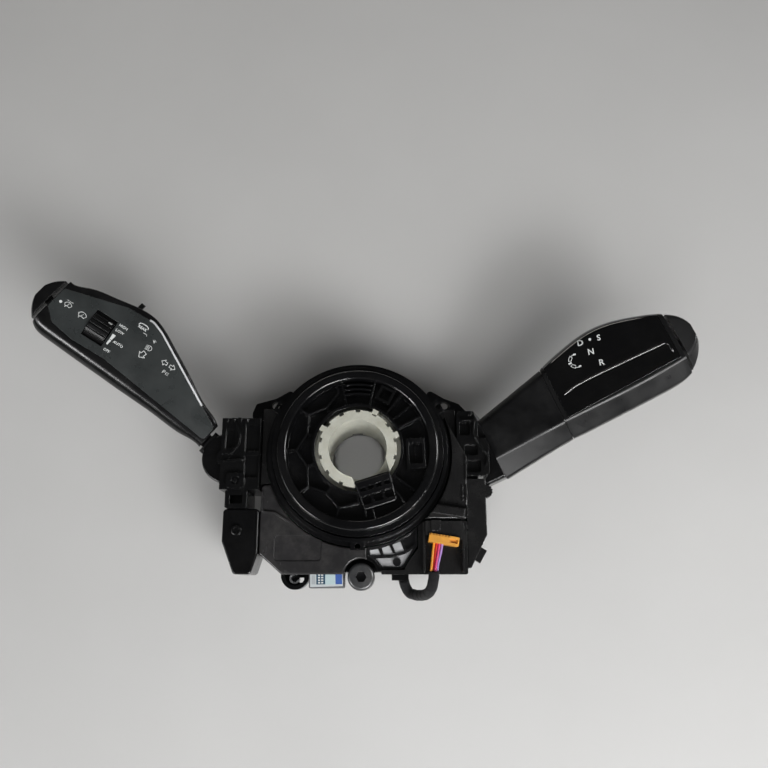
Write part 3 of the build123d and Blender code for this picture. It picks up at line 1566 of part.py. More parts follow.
with BuildPart() as rear_toggle:
    toggle_plane = across(left_plane, -toggle_distance, toggle_y, left_face - toggle_drop)
    with BuildSketch(toggle_plane):
        Circle(toggle_hub_radius)
        with Locations((toggle_reach / 2, 0)):
            Rectangle(toggle_reach, toggle_thickness)
        with Locations((toggle_reach, 0)):
            Circle(toggle_thickness / 2)
    extrude(amount=toggle_width / 2, both=True)
    with BuildSketch(toggle_plane):
        Circle(toggle_pin_radius)
    extrude(amount=toggle_half + rib_thickness, both=True)
rear_toggle.part.label = "rear_toggle"
export_step(rear_toggle.part, "parts/rear_toggle.step")

# ------------------------------------------------------------------ right switch housing
tube_plane = across(right_plane, sleeve_start, tube_y, -tube_drop)
with BuildPart() as right_switch_housing:
    with BuildSketch(Plane.XY.offset(right_low)):
        with Locations(((step_x + right_face) / 2, (right_top + step_y) / 2)):
            Rectangle(right_face - step_x, right_top - step_y)
    extrude(amount=right_high - right_low)
    fillet(right_switch_housing.edges().filter_by(Axis.Z), corner_radius + cover_seam)
    # neck that carries the stalk
    distance, low, crease, high, thick = sleeve_stations[0]
    with BuildSketch(across(right_plane, sleeve_start)):
        with Locations(((low + high) / 2, -thick / 2)):
            RectangleRounded(high - low - 2 * neck_inset, thick - 2 * neck_inset, corner_radius)
    extrude(amount=-neck_length)
    with BuildSketch(Plane.XY.offset(right_low)):
        with Locations(((step_x + side_x + cover_seam) / 2 - neck_length, step_y - neck_length)):
            Rectangle(side_x + cover_seam - step_x + 2 * neck_length, 2 * neck_length)
        with Locations((step_x - neck_length, right_top)):
            Rectangle(2 * neck_length, 4 * right_top)
    extrude(amount=2 * right_high, mode=Mode.SUBTRACT)
    # recesses, ribs and posts on the front plate
    with BuildSketch(Plane.XY.offset(right_high)):
        for x, y, across_x, across_y in right_recess:
            with Locations((x, y)):
                RectangleRounded(across_x, across_y, cover_round)
    extrude(amount=-right_recess_depth, mode=Mode.SUBTRACT)
    with BuildSketch(Plane.XY.offset(right_high - right_recess_depth)):
        with BuildLine():
            FilletPolyline(*right_s_rib, radius=cover_round)
        trace(line_width=cluster_rib)
        with BuildLine():
            Line(*right_ledge)
        trace(line_width=cluster_rib)
        with BuildLine():
            FilletPolyline(*right_clip, radius=cover_round)
        trace(line_width=cluster_rib)
        with Locations(*right_post_places):
            Rectangle(left_post_length, left_post_length)
    extrude(amount=right_recess_depth + cluster_height)
    with BuildSketch(Plane.XY.offset(housing_height)):
        offset(tower_outline.sketch, amount=cover_seam)
    extrude(amount=right_high, mode=Mode.SUBTRACT)
    split(bisect_by=across(right_plane, sleeve_start), keep=Keep.BOTTOM)
right_switch_housing.part.label = "right_switch_housing"
export_step(right_switch_housing.part, "parts/right_switch_housing.step")

with BuildPart() as selector_tube:
    with BuildSketch(tube_plane):
        Circle(tube_radius)
        Circle(tube_radius - tube_wall, mode=Mode.SUBTRACT)
    extrude(amount=tube_length)
selector_tube.part.label = "selector_tube"
export_step(selector_tube.part, "parts/selector_tube.step")

# ------------------------------------------------------------------ right stalk
sleeve_outer = selector_form(sleeve_stations, 0)
sleeve_inner = selector_form(sleeve_stations, sleeve_wall)
with BuildPart() as selector_sleeve:
    add(sleeve_outer)
    add(sleeve_inner, mode=Mode.SUBTRACT)
selector_sleeve.part.label = "selector_sleeve"
export_step(selector_sleeve.part, "parts/selector_sleeve.step")

grip_outer = selector_form(grip_stations, 0)
grip_inner = selector_form(grip_stations, grip_wall + panel_thickness)
grip_under_panel = selector_form(grip_stations, panel_thickness)
grip_start = sleeve_end + grip_gap

with BuildPart() as grip_ribs:
    add(grip_inner)
    with BuildSketch(right_plane):
        for rib_start in (grip_start, bearing_distance, grip_end - end_wall):
            with Locations((rib_start + end_wall / 2, 0)):
                Rectangle(end_wall, 4 * tube_length)
    extrude(amount=2 * tube_length, both=True, mode=Mode.INTERSECT)


def panel_region(gap=0.0):
    """The space that the gloss panel fills: over the crease, round the upper edge."""
    with BuildPart() as region:
        with BuildSketch(right_plane.offset(grip_wall)):
            with BuildLine():
                Polyline(
                    (panel_start - gap, panel_low - gap),
                    (panel_end + gap, panel_low + panel_rise - gap),
                    (panel_end + gap, tube_length),
                    (panel_start - gap, tube_length),
                    close=True,
                )
            make_face()
        extrude(amount=-panel_depth - grip_wall - gap)
    return region.part


panel_space = panel_region()
panel_space_and_gap = panel_region(seam)
with BuildPart() as gloss_panel:
    add(grip_outer)
    add(grip_under_panel, mode=Mode.SUBTRACT)
    add(panel_space, mode=Mode.INTERSECT)
gloss_panel.part.label = "gloss_panel"
export_step(gloss_panel.part, "parts/gloss_panel.step")

with BuildPart() as panel_recess_space:
    add(grip_outer)
    add(grip_under_panel, mode=Mode.SUBTRACT)
    add(panel_space_and_gap, mode=Mode.INTERSECT)

with BuildPart() as selector_grip:
    add(grip_outer)
    add(panel_recess_space.part, mode=Mode.SUBTRACT)
    add(grip_inner, mode=Mode.SUBTRACT)
    add(grip_ribs.part)
    with BuildSketch(tube_plane):
        Circle(tube_radius + running_gap)
    extrude(amount=tube_length + cap_travel, mode=Mode.SUBTRACT)
    with BuildSketch(across(right_plane, grip_end, tube_y, -tube_drop)):
        Circle(park_stem_radius + running_gap)
    extrude(amount=-2 * end_wall, mode=Mode.SUBTRACT)
selector_grip.part.label = "selector_grip"
export_step(selector_grip.part, "parts/selector_grip.step")

with BuildPart() as park_button:
    add(selector_form(park_stations, 0))
    with BuildSketch(across(right_plane, grip_end + park_gap + end_wall / 2, tube_y, -tube_drop)):
        Circle(park_stem_radius)
    extrude(amount=-park_stem_length)
park_button.part.label = "park_button"
export_step(park_button.part, "parts/park_button.step")

# ------------------------------------------------------------------ jumper lead
bay_top = housing_height + bay_floor
plug_bottom = bay_top + rail_height
plug_place = Location((plug_x, plug_y, 0), plug_turn)
with BuildPart() as jumper_socket:
    with BuildSketch(Plane.XY.offset(bay_top)):
        with Locations((plug_x, (bay_y + plug_y) / 2 - cover_seam)):
            Rectangle(plug_width + 2 * cover_wall, bay_y - plug_y - 2 * cover_seam)
        with Locations(plug_place):
            Rectangle(plug_width + 2 * running_gap, plug_length + 2 * running_gap, mode=Mode.SUBTRACT)
            with Locations((0, -plug_length)):
                Rectangle(2 * plug_width, plug_length + 4 * cover_wall, mode=Mode.SUBTRACT)
    extrude(amount=socket_height)
    with BuildSketch(Plane.XY.offset(bay_top + socket_height - strip_height)):
        with Locations((strip_x, bay_y - cover_seam)):
            Rectangle(
                strip_width,
                bay_y - plug_y - plug_length - cover_seam,
                align=(Align.CENTER, Align.MAX),
            )
    extrude(amount=2 * strip_height)
jumper_socket.part.label = "jumper_socket"
export_step(jumper_socket.part, "parts/jumper_socket.step")

with BuildPart() as jumper_plug:
    with BuildSketch(Plane.XY.offset(bay_top)):
        with Locations(plug_place):
            Rectangle(plug_width, plug_length)
    extrude(amount=socket_height + plug_lip)
    fillet(jumper_plug.edges().filter_by(Axis.Z), cover_round / 2)
    # comb along the edge that faces the socket, and the release slot beside it
    with BuildSketch(Plane.XY.offset(bay_top + socket_height)):
        with Locations(plug_place):
            with Locations((comb_offset, plug_length / 2)):
                with GridLocations(comb_pitch, 1, comb_teeth, 1):
                    Rectangle(comb_tooth, 2 * comb_depth)
            with Locations((plug_slot_x, 0)):
                Rectangle(plug_slot_length, plug_slot_width)
    extrude(amount=plug_lip, mode=Mode.SUBTRACT)
jumper_plug.part.label = "jumper_plug"
export_step(jumper_plug.part, "parts/jumper_plug.step")

loom_path_points = [Vector(*point) for point in loom_route]


def route_radii(points, share=0.45):
    """The largest smooth radius at each corner: a share of the shorter run over tan(turn / 2)."""
    radii = []
    for before, here, after in zip(points, points[1:], points[2:]):
        shorter = min((here - before).length, (after - here).length)
        turn = (here - before).get_angle(after - here)
        radii.append(share * shorter / math.tan(math.radians(turn) / 2))
    return radii


loom_radii = route_radii(loom_path_points)
print("loom radii, mm:", [round(radius, 1) for radius in loom_radii])

with BuildPart() as lead_loom:
    with BuildLine() as loom_path:
        FilletPolyline(*loom_path_points, radius=loom_radii)
    with BuildSketch(Plane(origin=loom_path.line @ 0, z_dir=loom_path.line % 0)):
        Circle(loom_radius)
    sweep()
lead_loom.part.label = "lead_loom"
export_step(lead_loom.part, "parts/lead_loom.step")
loom_length = sum(edge.length for edge in loom_path.edges())
print("loom length, mm:", round(loom_length, 1))
print("loom volume over section times length:",
      round(lead_loom.part.volume / (math.pi * loom_radius**2 * loom_length), 4))

# The wires leave the plug square to its lower edge and enter the lead in two layers, each beside its neighbour.
plug_edge = Plane(
    Location((plug_x, plug_y, lead_height), plug_turn) * Pos(0, -plug_length / 2, 0) * Rot(90, 0, 0)
)
loom_start = Plane(origin=loom_path.line @ 0, x_dir=(0, 0, 1), z_dir=loom_path.line % 0)
for index, colour in enumerate(wire_colours):
    place = index - (len(wire_colours) - 1) / 2
    layer = bundle_height / 2 * (-1) ** index
    finish = loom_start.from_local_coords((layer, -place * bundle_spread, 0))
    start = plug_edge.from_local_coords((wire_offset + place * wire_spread, 0, 0))
    middle_1 = start + plug_edge.z_dir * wire_run
    middle_2 = finish - loom_start.z_dir * wire_run
    wire_points = [start, middle_1, middle_2, finish]
    with BuildPart() as wire:
        with BuildLine() as wire_path:
            FilletPolyline(*wire_points, radius=route_radii(wire_points))
        with BuildSketch(Plane(origin=start, z_dir=plug_edge.z_dir)):
            Circle(wire_radius)
        sweep()
    wire.part.label = f"wire_{colour}"
    export_step(wire.part, f"parts/wire_{colour}.step")

loom_end = loom_path.line @ 1
with BuildPart() as loom_socket:
    with BuildSketch(Plane(origin=(loom_end.X, housing_bottom, loom_end.Z), z_dir=(0, -1, 0))):
        RectangleRounded(loom_socket_width, loom_socket_height, cover_round)
    extrude(amount=housing_bottom - loom_end.Y)
loom_socket.part.label = "loom_socket"
export_step(loom_socket.part, "parts/loom_socket.step")

# ------------------------------------------------------------------ fittings under the lower edge
with BuildPart() as side_socket:
    with BuildSketch(Plane.XY.offset(side_socket_low)):
        with Locations((side_socket_x, housing_bottom - side_socket_reach / 2)):
            Rectangle(side_socket_length, side_socket_reach)
    extrude(amount=side_socket_height)
    fillet(side_socket.faces().sort_by(Axis.Y)[0].edges(), cover_round)
side_socket.part.label = "side_socket"
export_step(side_socket.part, "parts/side_socket.step")

with BuildPart() as lower_hook:
    with BuildSketch(Plane.XY.offset(hook_low)):
        with Locations((hook_x, housing_bottom - hook_drop)):
            Circle(hook_radius)
            Rectangle(2 * hook_radius, 2 * hook_drop)
            Circle(hook_radius - hook_wall, mode=Mode.SUBTRACT)
            Rectangle(2 * (hook_radius - hook_wall), 2 * hook_drop, mode=Mode.SUBTRACT)
        with Locations((hook_x, housing_bottom + hook_radius)):
            Rectangle(2 * hook_radius, 2 * hook_radius, mode=Mode.SUBTRACT)
    extrude(amount=hook_height)
    with BuildSketch(Plane.XY.offset(hook_low)):
        with Locations((hook_x, housing_bottom - hook_drop)):
            Circle(hook_radius - hook_wall / 2)
            Rectangle(2 * hook_radius - hook_wall, 2 * hook_drop)
            with Locations((hook_radius - hook_wall - hook_slot, -hook_slot)):
                Rectangle(hook_slot, hook_slot, mode=Mode.SUBTRACT)
        with Locations((hook_x, housing_bottom + hook_radius)):
            Rectangle(2 * hook_radius, 2 * hook_radius, mode=Mode.SUBTRACT)
    extrude(amount=hook_floor)
lower_hook.part.label = "lower_hook"
export_step(lower_hook.part, "parts/lower_hook.step")

with BuildPart() as hook_clip:
    with BuildSketch(Plane.XY.offset(hook_low + hook_floor)):
        with Locations(Location((hook_clip_x, hook_clip_y, 0), hook_clip_turn)):
            Circle(hook_clip_radius)
            Circle(hook_clip_radius - hook_clip_wall, mode=Mode.SUBTRACT)
            with Locations((hook_clip_radius, 0)):
                Rectangle(hook_clip_radius, hook_clip_mouth, mode=Mode.SUBTRACT)
    extrude(amount=hook_clip_height)
hook_clip.part.label = "hook_clip"
export_step(hook_clip.part, "parts/hook_clip.step")
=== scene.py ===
"""Looks of the steering column switch module: clock spring, left combination stalk, right selector stalk.

Metres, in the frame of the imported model: origin on the steering axis, +Z out of the face towards the driver,
+X to the right of the module, +Y up. The CAD nodes keep their shapes and get materials here. The taped lead,
printed signs and letters, the label, the window's panes, the bright bead on the grip's panel and the collar in
the grip's seam are made here and ride on the bodies that carry them.
"""

import math

import bmesh
import bpy
import numpy as np
from mathutils import Matrix, Vector
from mathutils.bvhtree import BVHTree


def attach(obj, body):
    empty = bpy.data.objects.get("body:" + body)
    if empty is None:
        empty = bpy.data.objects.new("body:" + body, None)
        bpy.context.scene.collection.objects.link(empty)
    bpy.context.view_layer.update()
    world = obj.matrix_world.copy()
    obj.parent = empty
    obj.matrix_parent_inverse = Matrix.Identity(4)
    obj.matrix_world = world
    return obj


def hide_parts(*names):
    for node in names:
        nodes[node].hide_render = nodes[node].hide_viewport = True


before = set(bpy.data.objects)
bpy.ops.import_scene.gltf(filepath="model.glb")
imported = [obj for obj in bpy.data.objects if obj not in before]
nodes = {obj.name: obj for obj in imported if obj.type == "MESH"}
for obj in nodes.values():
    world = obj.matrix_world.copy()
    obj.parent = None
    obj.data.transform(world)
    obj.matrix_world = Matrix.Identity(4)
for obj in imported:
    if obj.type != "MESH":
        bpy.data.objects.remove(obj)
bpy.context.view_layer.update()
scene = bpy.context.scene
MM = 0.001

# ------------------------------------------------------------------ camera
CAMERA_AT = Vector((0.01646, -0.08570, 0.53197))
CAMERA_TILT = 15.0  # degrees away from straight down
SENSOR = 36.0
FOCAL_PIXELS = 770.0
PHOTO_SIDE = 768
CLIP_NEAR, CLIP_FAR = 0.01, 20.0

camera = bpy.data.objects.new("camera", bpy.data.cameras.new("camera"))
camera.location = CAMERA_AT
camera.rotation_euler = (math.radians(CAMERA_TILT), 0, 0)
camera.data.sensor_width = SENSOR
camera.data.lens = SENSOR * FOCAL_PIXELS / PHOTO_SIDE
camera.data.clip_start = CLIP_NEAR
camera.data.clip_end = CLIP_FAR
scene.collection.objects.link(camera)
scene.camera = camera

# ------------------------------------------------------------------ frames of the two stalks
LEFT_PIVOT = Vector((-0.085, -0.0035, 0.026))
LEFT_RISE, LEFT_LEAN = 40.0, 16.5  # degrees up the module's plane and out of it, as for the right stalk
RIGHT_BASE = Vector((0.0833, 0.0023, 0.038))
RIGHT_RISE, RIGHT_LEAN = 23.6, 16.1


def outward(rise, lean, side):
    """Direction of a stalk: side is -1 on the left and 1 on the right."""
    flat = math.cos(math.radians(lean))
    rise = math.radians(rise)
    return Vector((side * flat * math.cos(rise), flat * math.sin(rise), math.sin(math.radians(lean))))


def square_up(direction):
    """The direction nearest to +Z that is square to the given one."""
    return (Vector((0, 0, 1)) - direction * direction.z).normalized()


def axes(origin, x, z):
    """The matrix of a local frame with that origin, x axis and z axis."""
    y = z.cross(x)
    local = Matrix((x, y, z)).transposed().to_4x4()
    local.translation = origin
    return local


left_out = outward(LEFT_RISE, LEFT_LEAN, -1)
left_up = square_up(left_out)
right_out = outward(RIGHT_RISE, RIGHT_LEAN, 1)
right_up = square_up(right_out)
LEFT_FRAME = axes(LEFT_PIVOT, -left_out, left_up)  # its x runs back towards the pivot
RIGHT_FRAME = axes(RIGHT_BASE, right_out, right_up)  # its x runs outwards


# ------------------------------------------------------------------ materials
MIDDLE = (0.3, 0.7)  # most of a noise lies between these
EDGE, FLAT = 0.86, 0.99  # how far a rounded normal agrees with the face's own, at an edge and off it
BEVEL_SAMPLES = 4
COAT_ROUGHNESS = 0.04
DUST = (0.30, 0.29, 0.27)
# moulded plastic: shares of its written colour and roughness
FLOW_DARK, FLOW_PALE = 0.72, 1.12
RUB_HIGHLIGHT_GAIN, RUB_HIGHLIGHT_LIFT = 1.5, 0.012  # an edge paled by rubbing and by a painted highlight is lighter, and a black one no longer black
SMOOTH, SMEARED = 0.78, 1.25
FILM_SHARE = 0.28  # of the dust, as a film between its specks
HAIR_ROUGHNESS = 0.35  # added along a hairline scratch
# metal: shares of its written colour and roughness
TARNISHED, BURNISHED = 0.45, 1.25
BURNISH_SHARE = 0.5
BRUSH_SMOOTH, BRUSH_ROUGH = 0.7, 1.5


def new_tree(name):
    """A new material, its node tree and its shader."""
    material = bpy.data.materials.new(name)
    material.use_nodes = True
    tree = material.node_tree
    return material, tree, tree.nodes["Principled BSDF"]


def add_node(tree, kind, **settings):
    """A new node; each setting is one of its inputs or else one of its attributes."""
    node = tree.nodes.new(kind)
    for key, value in settings.items():
        if key in node.inputs:
            node.inputs[key].default_value = value
        else:
            setattr(node, key, value)
    return node


def noise(tree, scale, detail=3.0, rough=0.55, stretch=None):
    """A noise in the part's own coordinates, with scale in waves per metre. stretch squeezes it along the axes."""
    place = add_node(tree, "ShaderNodeTexCoord")
    out = place.outputs["Object"]
    if stretch:
        mapping = add_node(tree, "ShaderNodeMapping")
        mapping.inputs["Scale"].default_value = stretch
        tree.links.new(out, mapping.inputs["Vector"])
        out = mapping.outputs["Vector"]
    made = add_node(tree, "ShaderNodeTexNoise", Scale=scale, Detail=detail, Roughness=rough)
    tree.links.new(out, made.inputs["Vector"])
    return made.outputs["Fac"]


def between(tree, value, low, high, start=0.0, end=1.0):
    """Maps value from start..end to low..high, held at the ends."""
    node = add_node(tree, "ShaderNodeMapRange")
    tree.links.new(value, node.inputs["Value"])
    for key, number in (("From Min", start), ("From Max", end), ("To Min", low), ("To Max", high)):
        node.inputs[key].default_value = number
    return node.outputs["Result"]


def blend_colour(tree, factor, first, second):
    """first where factor is 0 and second where it is 1; each is a colour or a socket."""
    node = add_node(tree, "ShaderNodeMix", data_type="RGBA")
    tree.links.new(factor, node.inputs["Factor"])
    for key, value in (("A", first), ("B", second)):
        socket = next(s for s in node.inputs if s.name == key and s.type == "RGBA")
        if hasattr(value, "links"):
            tree.links.new(value, socket)
        else:
            socket.default_value = (*value, 1.0)
    return next(s for s in node.outputs if s.type == "RGBA")


def multiply(tree, first, second):
    """The product of two values; each is a number or a socket."""
    node = add_node(tree, "ShaderNodeMath", operation="MULTIPLY")
    for socket, value in zip(node.inputs, (first, second)):
        if hasattr(value, "links"):
            tree.links.new(value, socket)
        else:
            socket.default_value = value
    return node.outputs[0]


def scaled(colour, factor):
    return tuple(c * factor for c in colour)


def rounded(tree, radius):
    """Normals as if each edge had that radius, and a mask that is 1 on the edges."""
    bevel = add_node(tree, "ShaderNodeBevel", Radius=radius)
    bevel.samples = BEVEL_SAMPLES
    flat = add_node(tree, "ShaderNodeNewGeometry")
    agree = add_node(tree, "ShaderNodeVectorMath", operation="DOT_PRODUCT")
    tree.links.new(bevel.outputs["Normal"], agree.inputs[0])
    tree.links.new(flat.outputs["Normal"], agree.inputs[1])
    return bevel.outputs["Normal"], between(tree, agree.outputs["Value"], 1.0, 0.0, EDGE, FLAT)


def relief(tree, shader, height, depth, strength, normal=None):
    """Bumps of that depth in metres, over the given normals if there are any."""
    bump = add_node(tree, "ShaderNodeBump", Strength=strength, Distance=depth)
    tree.links.new(height, bump.inputs["Height"])
    if normal is not None:
        tree.links.new(normal, bump.inputs["Normal"])
    tree.links.new(bump.outputs["Normal"], shader.inputs["Normal"])


def moulded(
    name,
    colour,
    roughness,
    grain=2400.0,
    grain_depth=0.03 * MM,
    edge=0.35 * MM,
    edge_wear_and_highlight=0.35,
    dust=0.10,
    scratches=0.05,
    specular=0.5,
    coat=0.0,
):
    """Moulded plastic: fine grain, faint flow marks, edges paled by rubbing and by a painted highlight, settled
    dust and hairline scratches.

    grain is in waves per metre, edge is the radius of the edges, and the edge rubbing with its painted highlight,
    the dust and the scratches are shares.
    """
    material, tree, shader = new_tree(name)
    shader.inputs["Specular IOR Level"].default_value = specular
    shader.inputs["Coat Weight"].default_value = coat
    shader.inputs["Coat Roughness"].default_value = COAT_ROUGHNESS
    normal, on_edge = rounded(tree, edge)

    flow = between(tree, noise(tree, scale=55.0, detail=4.0), 0.0, 1.0, *MIDDLE)
    body = blend_colour(tree, flow, scaled(colour, FLOW_DARK), scaled(colour, FLOW_PALE))
    # paler edges over the edge mask: part rubbing, part a painted highlight along the edges
    rubbed_and_highlit_mask = between(tree, noise(tree, scale=260.0), 0.0, edge_wear_and_highlight, start=0.38, end=0.72)
    rubbed_and_highlit_colour = tuple(min(1.0, c * RUB_HIGHLIGHT_GAIN + RUB_HIGHLIGHT_LIFT) for c in colour)
    body = blend_colour(tree, multiply(tree, on_edge, rubbed_and_highlit_mask), body, rubbed_and_highlit_colour)

    specks = between(tree, noise(tree, scale=1500.0, detail=2.0), 0.0, 1.0, start=0.64, end=0.76)
    cloud = between(tree, noise(tree, scale=42.0, detail=5.0, rough=0.7), 0.0, dust, start=0.46, end=0.78)
    body = blend_colour(tree, multiply(tree, specks, cloud), body, DUST)
    body = blend_colour(tree, multiply(tree, cloud, FILM_SHARE), body, DUST)
    tree.links.new(body, shader.inputs["Base Color"])

    lines = noise(tree, scale=900.0, detail=2.0, rough=0.4, stretch=(1.0, 0.05, 1.0))
    hair = between(tree, lines, 0.0, scratches, start=0.60, end=0.68)
    smears = noise(tree, scale=70.0, detail=4.0)
    smear = between(tree, smears, roughness * SMOOTH, roughness * SMEARED, *MIDDLE)
    rough = add_node(tree, "ShaderNodeMath", operation="ADD")
    tree.links.new(smear, rough.inputs[0])
    tree.links.new(multiply(tree, hair, HAIR_ROUGHNESS), rough.inputs[1])
    rough.use_clamp = True
    tree.links.new(rough.outputs[0], shader.inputs["Roughness"])
    relief(tree, shader, noise(tree, grain, detail=2.0), grain_depth, strength=0.6, normal=normal)
    return material


def metal(name, colour, roughness, brush=(1.0, 1.0, 12.0), edge=0.2 * MM, tarnish=0.4):
    """Plated or brushed metal with fine lines, dull patches and bright edges."""
    material, tree, shader = new_tree(name)
    shader.inputs["Metallic"].default_value = 1.0
    normal, on_edge = rounded(tree, edge)
    patches = between(tree, noise(tree, scale=240.0, detail=4.0), 0.0, tarnish, start=0.42, end=0.72)
    body = blend_colour(tree, patches, colour, scaled(colour, TARNISHED))
    body = blend_colour(tree, multiply(tree, on_edge, BURNISH_SHARE), body, scaled(colour, BURNISHED))
    tree.links.new(body, shader.inputs["Base Color"])
    lines = noise(tree, scale=1400.0, rough=0.6, stretch=brush)
    rough = between(tree, lines, roughness * BRUSH_SMOOTH, roughness * BRUSH_ROUGH, *MIDDLE)
    tree.links.new(rough, shader.inputs["Roughness"])
    relief(tree, shader, lines, 0.01 * MM, strength=0.4, normal=normal)
    return material


def white_print(name, colour, roughness=0.45):
    """Screen printing: matt, with slightly uneven cover and a fine pitted surface."""
    material, tree, shader = new_tree(name)
    cover = between(tree, noise(tree, scale=2200.0), 0.0, 0.45, start=0.35, end=0.75)
    tree.links.new(blend_colour(tree, cover, colour, scaled(colour, 0.72)), shader.inputs["Base Color"])
    shader.inputs["Roughness"].default_value = roughness
    relief(tree, shader, noise(tree, scale=4000.0, detail=2.0), 0.01 * MM, strength=0.4)
    return material


def board_green(name):
    """Lacquered board: green solder mask over faint copper tracks."""
    material, tree, shader = new_tree(name)
    tracks = add_node(tree, "ShaderNodeTexBrick", Scale=420.0)
    mask = {"Color1": (0.02, 0.11, 0.05), "Color2": (0.02, 0.12, 0.06), "Mortar": (0.04, 0.22, 0.10)}
    for key, value in mask.items():
        tracks.inputs[key].default_value = (*value, 1.0)
    place = add_node(tree, "ShaderNodeTexCoord")
    tree.links.new(place.outputs["Object"], tracks.inputs["Vector"])
    tree.links.new(tracks.outputs["Color"], shader.inputs["Base Color"])
    tree.links.new(between(tree, noise(tree, scale=90.0), 0.25, 0.4, *MIDDLE), shader.inputs["Roughness"])
    relief(tree, shader, tracks.outputs["Fac"], 0.02 * MM, strength=0.5)
    return material


def fleece(name):
    """Napped textile tape: felted short fibres, with a soft sheen."""
    material, tree, shader = new_tree(name)
    fibres = noise(tree, scale=1700.0, detail=6.0, rough=0.75)
    nap = noise(tree, scale=420.0, detail=4.0, rough=0.7)
    tone = between(tree, fibres, 0.0, 1.0, *MIDDLE)
    body = blend_colour(tree, tone, (0.003, 0.003, 0.0035), (0.018, 0.018, 0.019))
    tree.links.new(body, shader.inputs["Base Color"])
    shader.inputs["Roughness"].default_value = 0.95
    shader.inputs["Specular IOR Level"].default_value = 0.15
    shader.inputs["Sheen Weight"].default_value = 0.10
    shader.inputs["Sheen Roughness"].default_value = 0.5
    both = add_node(tree, "ShaderNodeMath", operation="ADD")
    tree.links.new(fibres, both.inputs[0])
    tree.links.new(nap, both.inputs[1])
    relief(tree, shader, both.outputs[0], 0.25 * MM, strength=0.9)
    return material


def insulation(name, colour):
    """Cable insulation: smooth vinyl with faint drawn lines and grime."""
    material, tree, shader = new_tree(name)
    grime = between(tree, noise(tree, scale=380.0, detail=4.0), 0.0, 0.3, start=0.45, end=0.75)
    tree.links.new(blend_colour(tree, grime, colour, scaled(colour, 0.45)), shader.inputs["Base Color"])
    tree.links.new(between(tree, noise(tree, scale=600.0), 0.25, 0.42, *MIDDLE), shader.inputs["Roughness"])
    relief(tree, shader, noise(tree, scale=1800.0, detail=2.0), 0.01 * MM, strength=0.4)
    return material


def acetal(name, colour, stained):
    """White acetal: waxy, slightly see-into, greyed and yellowed in places by grease."""
    material, tree, shader = new_tree(name)
    normal, _ = rounded(tree, 0.35 * MM)
    stain = between(tree, noise(tree, scale=110.0, detail=5.0, rough=0.65), 0.0, 0.55, start=0.42, end=0.78)
    tree.links.new(blend_colour(tree, stain, colour, stained), shader.inputs["Base Color"])
    tree.links.new(between(tree, noise(tree, scale=130.0), 0.28, 0.45, *MIDDLE), shader.inputs["Roughness"])
    shader.inputs["Subsurface Weight"].default_value = 0.15
    shader.inputs["Subsurface Radius"].default_value = (1.5 * MM, 1.3 * MM, 1.0 * MM)
    relief(tree, shader, noise(tree, scale=1300.0, detail=2.0), 0.015 * MM, strength=0.5, normal=normal)
    return material


# at 1.0 every edge of these plastics is paled fully: painted highlights along their edges
housing_black = moulded("housing_black", (0.0035, 0.0035, 0.0038), roughness=0.20, edge_wear_and_highlight=1.0, dust=0.04)
cover_black = moulded("cover_black", (0.013, 0.0128, 0.013), roughness=0.20, grain=1800.0, edge_wear_and_highlight=1.0, dust=0.16)
sheet_black = moulded(
    "sheet_black", (0.027, 0.026, 0.027), roughness=0.22, grain=700.0, grain_depth=0.05 * MM, edge_wear_and_highlight=1.0, dust=0.4
)
gloss_black = moulded(
    "gloss_black", (0.004, 0.004, 0.0045), roughness=0.15, grain=500.0, grain_depth=0.02 * MM, edge_wear_and_highlight=1.0, dust=0.08
)
piano_black = moulded(
    "piano_black",
    (0.002, 0.002, 0.0022),
    roughness=0.05,
    grain=300.0,
    grain_depth=0.004 * MM,
    edge=0.6 * MM,
    edge_wear_and_highlight=0.1,
    dust=0.03,
    scratches=0.03,
    coat=1.0,
)
clear_black = moulded(
    "clear_black", (0.010, 0.010, 0.011), roughness=0.10, grain=350.0, edge_wear_and_highlight=0.8, dust=0.25, coat=0.6
)
stalk_black = moulded(
    "stalk_black",
    (0.0035, 0.0035, 0.0038),
    roughness=0.34,
    grain=2600.0,
    grain_depth=0.02 * MM,
    edge_wear_and_highlight=0.2,
    dust=0.02,
    specular=0.32,
)
shell_black = moulded(
    "shell_black",
    (0.005, 0.005, 0.0053),
    roughness=0.22,
    grain=1600.0,
    grain_depth=0.04 * MM,
    edge_wear_and_highlight=0.5,
    dust=0.08,
    specular=0.4,
)
cap_grey = moulded(
    "cap_grey",
    (0.018, 0.018, 0.0185),
    roughness=0.32,
    grain=2600.0,
    grain_depth=0.02 * MM,
    edge=0.3 * MM,
    edge_wear_and_highlight=0.4,
    dust=0.05,
    specular=0.4,
)
facet_grey = moulded(
    "facet_grey",
    (0.006, 0.006, 0.0063),
    roughness=0.32,
    grain=2600.0,
    grain_depth=0.02 * MM,
    edge=0.2 * MM,
    edge_wear_and_highlight=0.1,
    dust=0.03,
    specular=0.3,
)
plate_grey = moulded(
    "plate_grey", (0.032, 0.036, 0.036), roughness=0.30, grain=2600.0, grain_depth=0.015 * MM, edge_wear_and_highlight=0.3, dust=0.08
)
pane_grey = moulded(
    "pane_grey",
    (0.50, 0.50, 0.51),
    roughness=0.12,
    grain=500.0,
    grain_depth=0.04 * MM,
    edge_wear_and_highlight=0.4,
    dust=0.6,
    coat=0.6,
)
pane_pale = moulded(
    "pane_pale",
    (0.60, 0.61, 0.62),
    roughness=0.14,
    grain=500.0,
    grain_depth=0.04 * MM,
    edge_wear_and_highlight=0.4,
    dust=0.5,
    coat=0.6,
)
